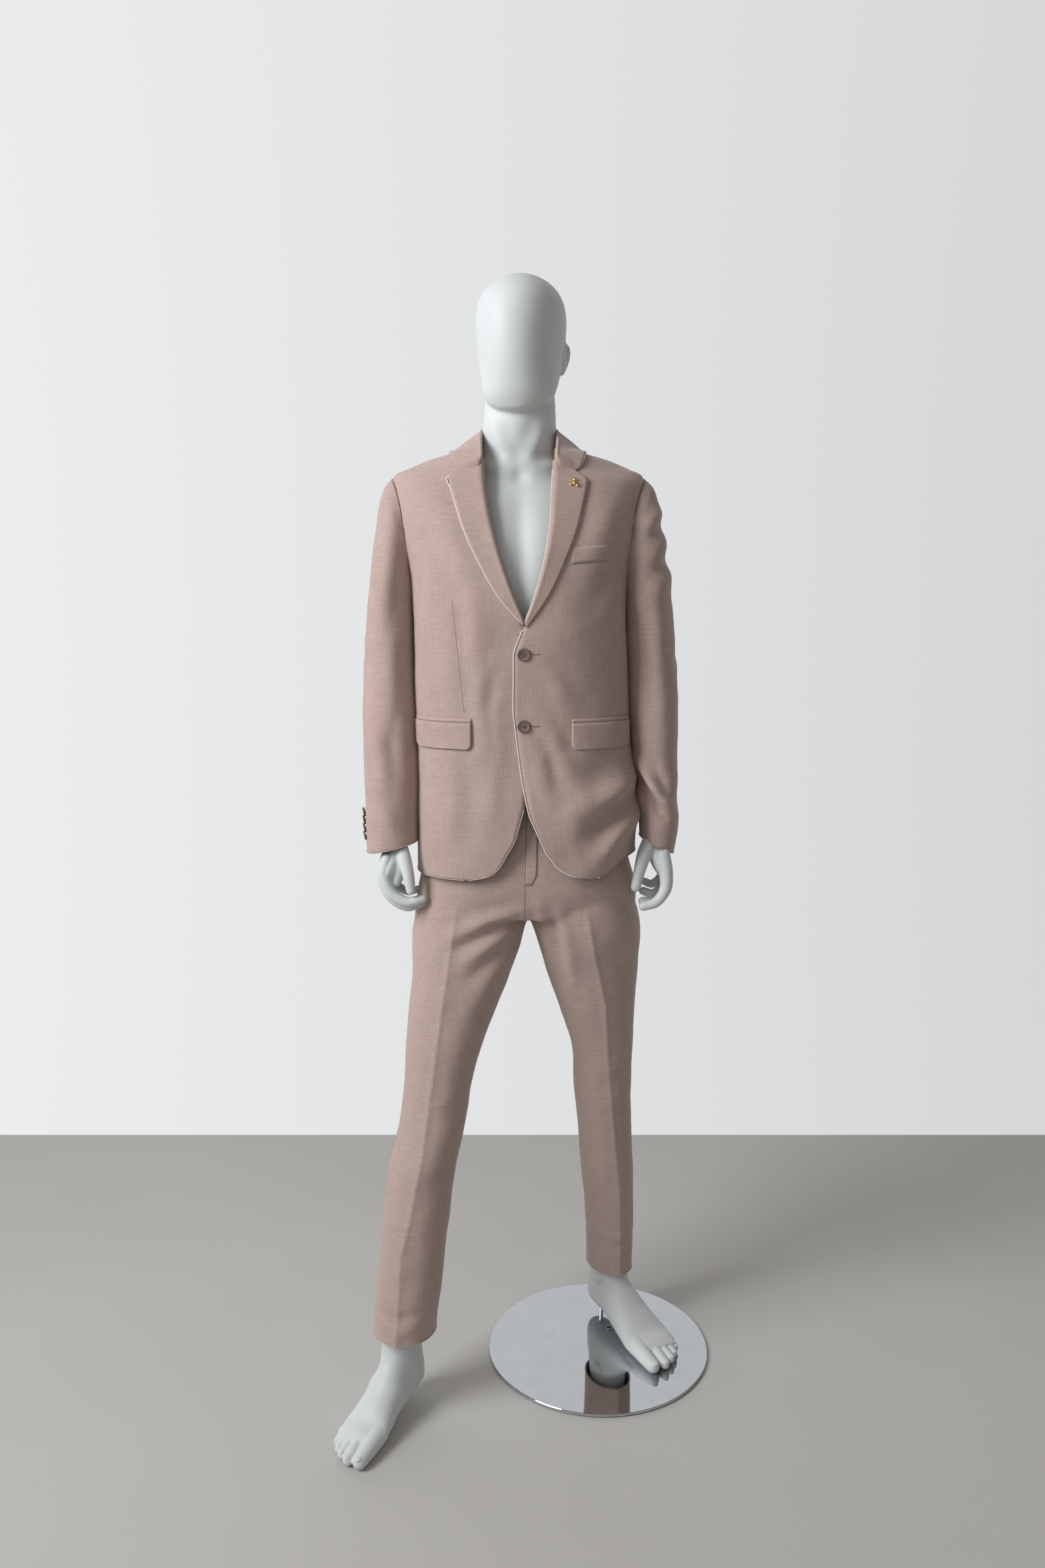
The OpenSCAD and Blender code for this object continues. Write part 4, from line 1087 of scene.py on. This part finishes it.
def make_buttons():
    """The two front buttons and the end of each buttonhole beside them, a fine line of painted shade."""
    for number, z in enumerate(BUTTON_Z):
        at = on_coat(BUTTON_X, z, 3.4)
        face = unit(on_coat(BUTTON_X, z, 4.4) - at) * [0.3, 1, 1]
        make_button("front_button_%d" % number, at, face, BUTTON_RADIUS, BUTTON, "torso",
                    "front_buttons", "front_button")
        line = [on_coat(x, z + 0.5, 3.2) for x in np.linspace(BUTTON_X + 10, BUTTON_X + 24, 6)]
        attach(edge_line("buttonhole_%d" % number, line, 0.9, SEAM_SHADE, gap=1.5), "torso")


def make_cuff_buttons(side, grid, way):
    """Four kissing buttons up the back of the cuff."""
    form = tree_of(grid)
    for number in range(4):
        up = number * CUFF_BUTTON_STEP
        start = Vector((way / MM, CUFF_BUTTON_Y[side] + up * 0.25, CUFF_BUTTON_Z + up)) * MM
        hit, normal = form.ray_cast(start, Vector((-way, 0, 0)))[:2]
        normal = np.array(normal) * (1 if normal.x * way > 0 else -1)
        at = np.array(hit) / MM + normal * 0.6
        face = unit(normal + np.array([0, 0, -0.22]))
        make_button("%s_cuff_button_%d" % (side, number), at, face, CUFF_BUTTON_RADIUS, HORN,
                    side + "_arm", side + "_cuff_buttons", "cuff_button")


def make_pin():
    """A small plain gold pin: a dome with three lobes."""
    face = unit(on_coat(*PIN_AT, 5) - on_coat(*PIN_AT, 4))
    dome = turned([[4.6, 0], [4.8, 0.8], [4.0, 1.6], [3.4, 3.0], [2.0, 4.0], [0.4, 4.3]], 32)
    lobes = [blob((6.0 * math.cos(a), 6.0 * math.sin(a), 1.3), (3.0, 3.0, 1.6), sides=16)
             for a in np.radians([90, 210, 330])]
    obj = make("lapel_pin_gold", placed(join(dome, *lobes), on_coat(*PIN_AT, 4.2), face), GOLD)
    attach(obj, "torso", "lapel_pin", slot="pin_gold")


# ---------- trousers ----------
LEGS = {  # stations of each leg's cloth, as in rings_of, from the hem up
    "left": [
        [25, 86, 98, 26, 0, 38.5, 52, 2.1], [24, 80, 230, 20, 0, 43, 54, 2.1],
        [17, 72, 330, 16, 0, 47, 60, 2.1], [13, 64, 400, 13, 0, 47.5, 61, 2.1],
        [6, 52, 500, 10, 0, 52, 60, 2.1], [5, 42, 570, 8, 0, 54, 63, 2.1],
        [-6, 32, 645, 5, 0, 67, 74, 2.2], [-20, 17, 742, 3, 0, 84, 90, 2.3],
        [-31, 3, 818, 0, 0, 96, 104, 2.3], [-42, 1, 850, 0, 0, 98, 104, 2.3],
        [-54, 0, 885, 0, 0, 96, 98, 2.3]],
    "right": [
        [-341, -164, 124, -20, 0, 51, 56, 2.1], [-330, -150, 230, -17, 0, 54, 57, 2.1],
        [-320, -130, 330, -14, 0, 55.5, 62, 2.1], [-312, -112, 400, -12, 0, 57, 64, 2.1],
        [-290, -88, 500, -10, 0, 56.5, 62, 2.1], [-281, -70, 570, -8, 0, 60, 67, 2.1],
        [-266, -50, 645, -5, 0, 71, 76, 2.2], [-242, -26, 742, -3, 0, 87, 92, 2.3],
        [-235, -14, 785, 0, 0, 95, 98, 2.3], [-229, -7, 818, 0, 0, 98, 101, 2.3],
        [-220, 0, 885, 0, 0, 98, 99, 2.3]],
}
HEMS = {"left": 123, "right": 143}
SEAT = [
    [-130, -1, 838, 0, 0, 186, 100, 2.5], [-130, -1, 862, 0, 0, 187, 109, 2.5],
    [-130, -1, 884, 0, 0, 187, 114, 2.5], [-132, 0, 914, 0, 0, 180, 117, 2.5],
    [-138, 1, 980, 0, 0, 168, 113, 2.5], [-141, 0, 1048, 0, 0, 152, 106, 2.5],
    [-141, 0, 1066, 0, 0, 151, 105, 2.5],
]
WAIST_TOP = 1056
TROUSER_FOLDS = [  # height, width and path, as seen from the front
    (5.0, 12, [(-140, 856), (-190, 842), (-262, 812)]), (-3.6, 10, [(-146, 838), (-196, 820), (-258, 790)]),
    (3.0, 13, [(-142, 826), (-192, 796), (-256, 758)]), (-2.0, 11, [(-150, 806), (-196, 772), (-244, 730)]),
    (3.0, 13, [(-156, 780), (-190, 740), (-226, 690)]),
    (2.6, 11, [(-110, 862), (-98, 800), (-84, 726)]), (-2.2, 10, [(-94, 856), (-82, 790), (-70, 726)]),
    (2.4, 12, [(-76, 850), (-62, 780), (-52, 700)]),
    (1.2, 16, [(-236, 560), (-276, 530), (-330, 552)]), (1.0, 16, [(-240, 506), (-286, 474), (-336, 492)]),
    (1.6, 18, [(-262, 470), (-300, 430), (-330, 400)]), (1.1, 16, [(-46, 566), (-4, 538), (44, 556)]),
    (1.0, 16, [(-44, 506), (4, 478), (52, 496)]), (1.5, 18, [(-24, 470), (10, 430), (30, 390)]),
    (2.0, 12, [(-396, 236), (-362, 206), (-330, 214)]), (-1.4, 9, [(-390, 206), (-352, 182), (-314, 196)]),
    (1.6, 12, [(-384, 188), (-346, 164), (-306, 178)]),
    (1.8, 12, [(-18, 222), (26, 196), (66, 212)]), (-1.2, 9, [(-14, 200), (28, 178), (66, 190)]),
    (2.2, 14, [(-352, 330), (-338, 280), (-352, 240)]), (2.2, 14, [(52, 330), (40, 280), (48, 236)]),
]
SEAT_FOLDS = [
    (5, 16, [(-60, 850), (-100, 812), (-60, 770)]), (5, 16, [(-205, 850), (-180, 812), (-215, 770)]),
    (-5, 12, [(-44, 812), (-80, 790), (-40, 744)]), (-5, 12, [(-226, 812), (-200, 790), (-236, 744)]),
    (3.4, 13, [(-310, 560), (-280, 540), (-240, 560)]), (3.4, 13, [(-40, 570), (0, 548), (44, 566)]),
    (-6, 26, [(-134, 1040), (-134, 960), (-134, 880)]),
]
FRONT_CREASES = [
    [(-246, 880), (-260, 780), (-275, 680), (-290, 570), (-306, 450), (-326, 350), (-340, 290), (-350, 130)],
    [(-36, 880), (-18, 780), (4, 677), (12, 560), (22, 450), (32, 350), (39, 268), (42, 108)],
]
BACK_CREASES = [
    [(-232, 900), (-238, 760), (-262, 640), (-282, 500), (-300, 400), (-320, 230), (-328, 130)],
    [(-46, 900), (-34, 760), (-16, 640), (-4, 500), (8, 400), (10, 230), (8, 108)],
]


def cut_flat(obj, height, low_x, high_x, keep_above):
    """Cuts the mesh off at a height, between two x, and leaves that end open."""
    mesh = bmesh.new()
    mesh.from_mesh(obj.data)
    part = [f for f in mesh.faces if low_x * MM < f.calc_center_median().x < high_x * MM
            and abs(f.calc_center_median().z - height * MM) < 0.06]
    geom = list({g for f in part for g in (*f.verts, *f.edges)}) + part
    bmesh.ops.bisect_plane(mesh, geom=geom, plane_co=(0, 0, height * MM), plane_no=(0, 0, 1),
                           clear_inner=keep_above, clear_outer=not keep_above)
    mesh.to_mesh(obj.data)
    mesh.free()


def make_trousers():
    """The seat and both legs in one cloth. Gives the tree of its outer face."""
    shapes = [closed_loft(rings_of(SEAT, 6, 80))]
    shapes += [closed_loft(rings_of(LEGS[side], 6, 72)) for side in LEGS]
    obj = mould("trousers", shapes, 3.0, 18, SUIT)
    obj.data.materials.append(LINING_AND_HOLE_SHADE)
    points, normals = read(obj)
    x, z = points[:, 0], points[:, 2]
    front = ease(-normals[:, 1], -0.2, 0.35)
    depth = cloth_ripple(points, 48, 1.3, 20, 700)
    depth += folds(x, z, TROUSER_FOLDS) * front + folds(x, z, SEAT_FOLDS) * (1 - front)
    for paths, height, facing in ((FRONT_CREASES, 3.8, -1), (BACK_CREASES, 4.0, 1)):
        share = ease(facing * normals[:, 1], 0.1, 0.6) * (1 - ease(z, 820, 900))
        depth += sum(pressed(x, z, height, 7, path) for path in paths) * share
    write(obj, points + normals * depth[:, None])
    cut_flat(obj, WAIST_TOP, -1000, 1000, False)
    cut_flat(obj, HEMS["left"], -100, 1000, True)
    cut_flat(obj, HEMS["right"], -1000, -160, True)
    polygons = [tuple(p.vertices) for p in obj.data.polygons]
    tree = BVHTree.FromPolygons([v.co for v in obj.data.vertices], polygons)
    modify(obj, "SOLIDIFY", thickness=1.8 * MM, offset=-1.0, material_offset=1)
    apply_all(obj)
    attach(obj, "lower_body", "trouser_seat", "trouser_left_leg", "trouser_right_leg")
    return tree


def hit_on(tree, start, way):
    """Where a line from start, in mm, first meets the cloth, or None."""
    hit = tree.ray_cast(Vector(start) * MM, Vector(way))[0]
    return None if hit is None else np.array(hit) / MM


def front_x(x, z):
    """The fly and the front seam lean a little: where x at the fork comes to at a height."""
    return x + (z - 860) * 0.02


def make_fly(tree):
    """The stitched fly, narrowed at its foot, and the seam beside it."""
    grid = []
    for z in np.linspace(904, 1044, 28):
        low, high = front_x(-135, z), front_x(-117, z) - 9 * (1 - ease(z, 900, 924))
        grid.append([hit_on(tree, (x, -500, z), (0, 1, 0)) - [0, 0.7, 0]
                     for x in np.linspace(low, high, 8)])
    attach(flat_cloth("fly_cloth", np.array(grid), 1.2), "lower_body", "fly_placket")
    # The front seam, a line of painted shade.
    seam = [hit_on(tree, (front_x(-136, z), -500, z), (0, 1, 0)) for z in np.linspace(836, 1040, 50)]
    attach(edge_line("front_seam", seam, 0.5, SEAM_SHADE), "lower_body")


def make_side_seam(tree, side, way):
    """Down the outer side of a leg, from the hip to the hem: a line of painted shade."""
    rows = [r for r in smooth_rows(LEGS[side], 9) if HEMS[side] + 4 < r[2] < 860]
    seam = [hit_on(tree, (way * 600, r[1] + 2, r[2]), (-way, 0, 0)) for r in rows]
    seam = [p + [way * 0.1, 0, 0] for p in seam if p is not None]
    attach(edge_line(side + "_side_seam", seam, 0.55, SEAM_SHADE), "lower_body")


def make_hem(tree, side):
    """The turned edge round a leg's opening."""
    rings = rings_of(LEGS[side], 6, 72)
    ring = rings[np.argmin(abs(rings[:, 0, 2] - HEMS[side] - 1))]
    middle = ring.mean(axis=0)
    hem = []
    for p in ring:
        out = unit(p - middle)
        hem.append(hit_on(tree, middle + out * 150 + [0, 0, 2.5 + HEMS[side] - middle[2]], -out))
    hem = [p - [0, 0, 2.0] for p in hem if p is not None]
    attach(edge_line(side + "_hem_edge", hem + hem[:1], 1.0, SUIT), "lower_body")


def belt_loop(form, x, way):
    """An upright loop of cloth on the waistband, on its front or, where way is -1, its back."""
    grid = np.array([[hit_on(form, (x + s, -500 * way, z), (0, way, 0)) - [0, way * 2.2, 0]
                      for s in np.linspace(-5, 5, 5)] for z in np.linspace(1052, 1084, 10)])
    loop = flat_cloth("belt_loop", grid, 1.6)
    apply_all(loop)
    return loop


def make_waistband():
    """The band above the seat, hidden by the jacket, and its five belt loops."""
    grid = rings_of([[-141, 0, 1050, 0, 0, 153.5, 107.5, 2.5], [-141, 0, 1068, 0, 0, 152.5, 107, 2.5],
                     [-141, 0, 1086, 0, 0, 151.5, 106, 2.5]], 4, 120)
    grid = grid + outward(grid, True) * (ripple(grid, 30, 0.8) + 0.6)[..., None]
    band = lined_cloth("waistband_cloth", grid, True, 2.4)
    form = tree_of(grid)
    loops = [belt_loop(form, x, way)
             for x, way in ((-225, 1), (-60, 1), (-225, -1), (-60, -1), (MID, -1))]
    apply_all(band)
    attach(merge("waistband_cloth", [band, *loops]), "lower_body", "waistband")


# ---------- CAD nodes that show as they are ----------
def dress_cad_nodes():
    """Gives the nodes that no piece replaces their own metal, foam or paint."""
    finish = {"base_plate": MIRROR, "base_spigot": CHROME, "base_underlay": FOAM, "lapel_pin": GOLD,
              "pin_clutch": GOLD, "pelvis_shell": SKIN, "left_arm_shell": SKIN, "right_arm_shell": SKIN}
    for name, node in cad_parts.items():
        if node.hide_render:
            continue
        for place in node.material_slots:
            place.material = finish.get(name, STEEL)


# ---------- room, light and camera ----------
FLOOR_REACH = 7000                                  # from the origin to the sides and the front
FLOOR_BEHIND = 900                                  # and to its back edge
WALL_NEAR_KEY = (0.84, 0.85, 0.865)                 # the white wall, on the side that the key lights
WALL_FAR = (0.66, 0.67, 0.685)
ROOM_TINT = (1.0, 0.955, 0.92, 1)
CAMERA_AT = (-0.139, -2.114, 1.392)
CAMERA_TILT = 80.92                                 # degrees up from straight down
CAMERA_LENS = 28.64
SENSOR_WIDTH = 36


def floor_material(dark, light):
    """A plain pale floor, very slightly uneven in tone."""
    material, tree, shader = node_material("pale_floor", light, 0.55)
    tone = stretched_noise(tree, (1, 1, 1), 2.2, 2)
    coat(tree, shader, blend_colours(tree, tone.outputs["Fac"], 0.3, 0.7, dark, light))
    return material


def make_stage():
    """A plain pale floor that ends a little behind the figure, before the pale backdrop."""
    points = [[x, y, 0] for y in (-FLOOR_REACH, FLOOR_BEHIND) for x in (-FLOOR_REACH, FLOOR_REACH)]
    material = floor_material((0.52, 0.505, 0.48), (0.54, 0.525, 0.50))
    make("floor", (points, [(0, 1, 3, 2)]), material)


def area_light(name, at, towards, size, power, colour):
    """A rectangular lamp, in metres and watts."""
    data = bpy.data.lights.new(name, "AREA")
    data.shape = "RECTANGLE"
    data.size, data.size_y = size
    data.energy = power
    data.color = colour
    lamp = bpy.data.objects.new(name, data)
    lamp.location = at
    lamp.rotation_euler = (Vector(towards) - Vector(at)).to_track_quat("-Z", "Y").to_euler()
    bpy.context.scene.collection.objects.link(lamp)
    return lamp


def make_light():
    """A large key from the figure's right front, and a weak fill from the front."""
    key = area_light("key", (-2.6, -1.55, 2.7), (-0.15, 0, 1.35), (1.4, 2.0), 56, (0.98, 1.0, 1.02))
    key.data.spread = math.radians(130)
    area_light("front", (-0.6, -3.4, 2.6), (-0.15, 0, 1.0), (2.4, 1.6), 9, (1.0, 0.98, 0.96))


def make_backdrop():
    """Light from all round, dim in the room and bright from the white wall behind the figure."""
    world = bpy.data.worlds.new("room_light")
    world.use_nodes = True
    tree = world.node_tree
    place = add(tree, "ShaderNodeTexCoord")
    split = add(tree, "ShaderNodeSeparateXYZ", Vector=place.outputs["Generated"])
    across = spread(tree, split.outputs["X"], -0.4, 0.4)
    behind = spread(tree, split.outputs["Y"], 0.25, 0.6)
    wall_colour = blend_colours(tree, across, 0.0, 1.0, WALL_NEAR_KEY, WALL_FAR)
    wall = add(tree, "ShaderNodeBackground", Color=wall_colour, Strength=1.0)
    room = add(tree, "ShaderNodeBackground", Color=ROOM_TINT, Strength=0.23)
    both = add(tree, "ShaderNodeMixShader", Fac=behind, _1=room.outputs[0], _2=wall.outputs[0])
    tree.links.new(both.outputs[0], tree.nodes["World Output"].inputs["Surface"])
    bpy.context.scene.world = world
    bpy.context.scene.view_settings.view_transform = "Standard"


def make_camera():
    """At head height in front of the figure, looking a little down."""
    data = bpy.data.cameras.new("camera")
    data.lens = CAMERA_LENS
    data.sensor_width = SENSOR_WIDTH
    camera = bpy.data.objects.new("camera", data)
    camera.location = CAMERA_AT
    camera.rotation_euler = (math.radians(CAMERA_TILT), 0, 0)
    bpy.context.scene.collection.objects.link(camera)
    bpy.context.scene.camera = camera


def make_all():
    """The room, then the figure, then its clothes from the inside out."""
    make_camera()
    make_stage()
    make_light()
    make_backdrop()
    make_torso()
    make_legs()
    make_hands()
    trousers = make_trousers()
    make_fly(trousers)
    for side, way in (("left", 1), ("right", -1)):
        make_side_seam(trousers, side, way)
        make_hem(trousers, side)
    make_waistband()
    make_jacket()
    make_lapels()
    make_collar()
    make_pockets()
    make_darts()
    make_buttons()
    make_pin()
    for side, way in (("right", -1), ("left", 1)):
        grid = make_sleeve(side)
        make_cuff_buttons(side, grid, way)
    dress_cad_nodes()


make_all()
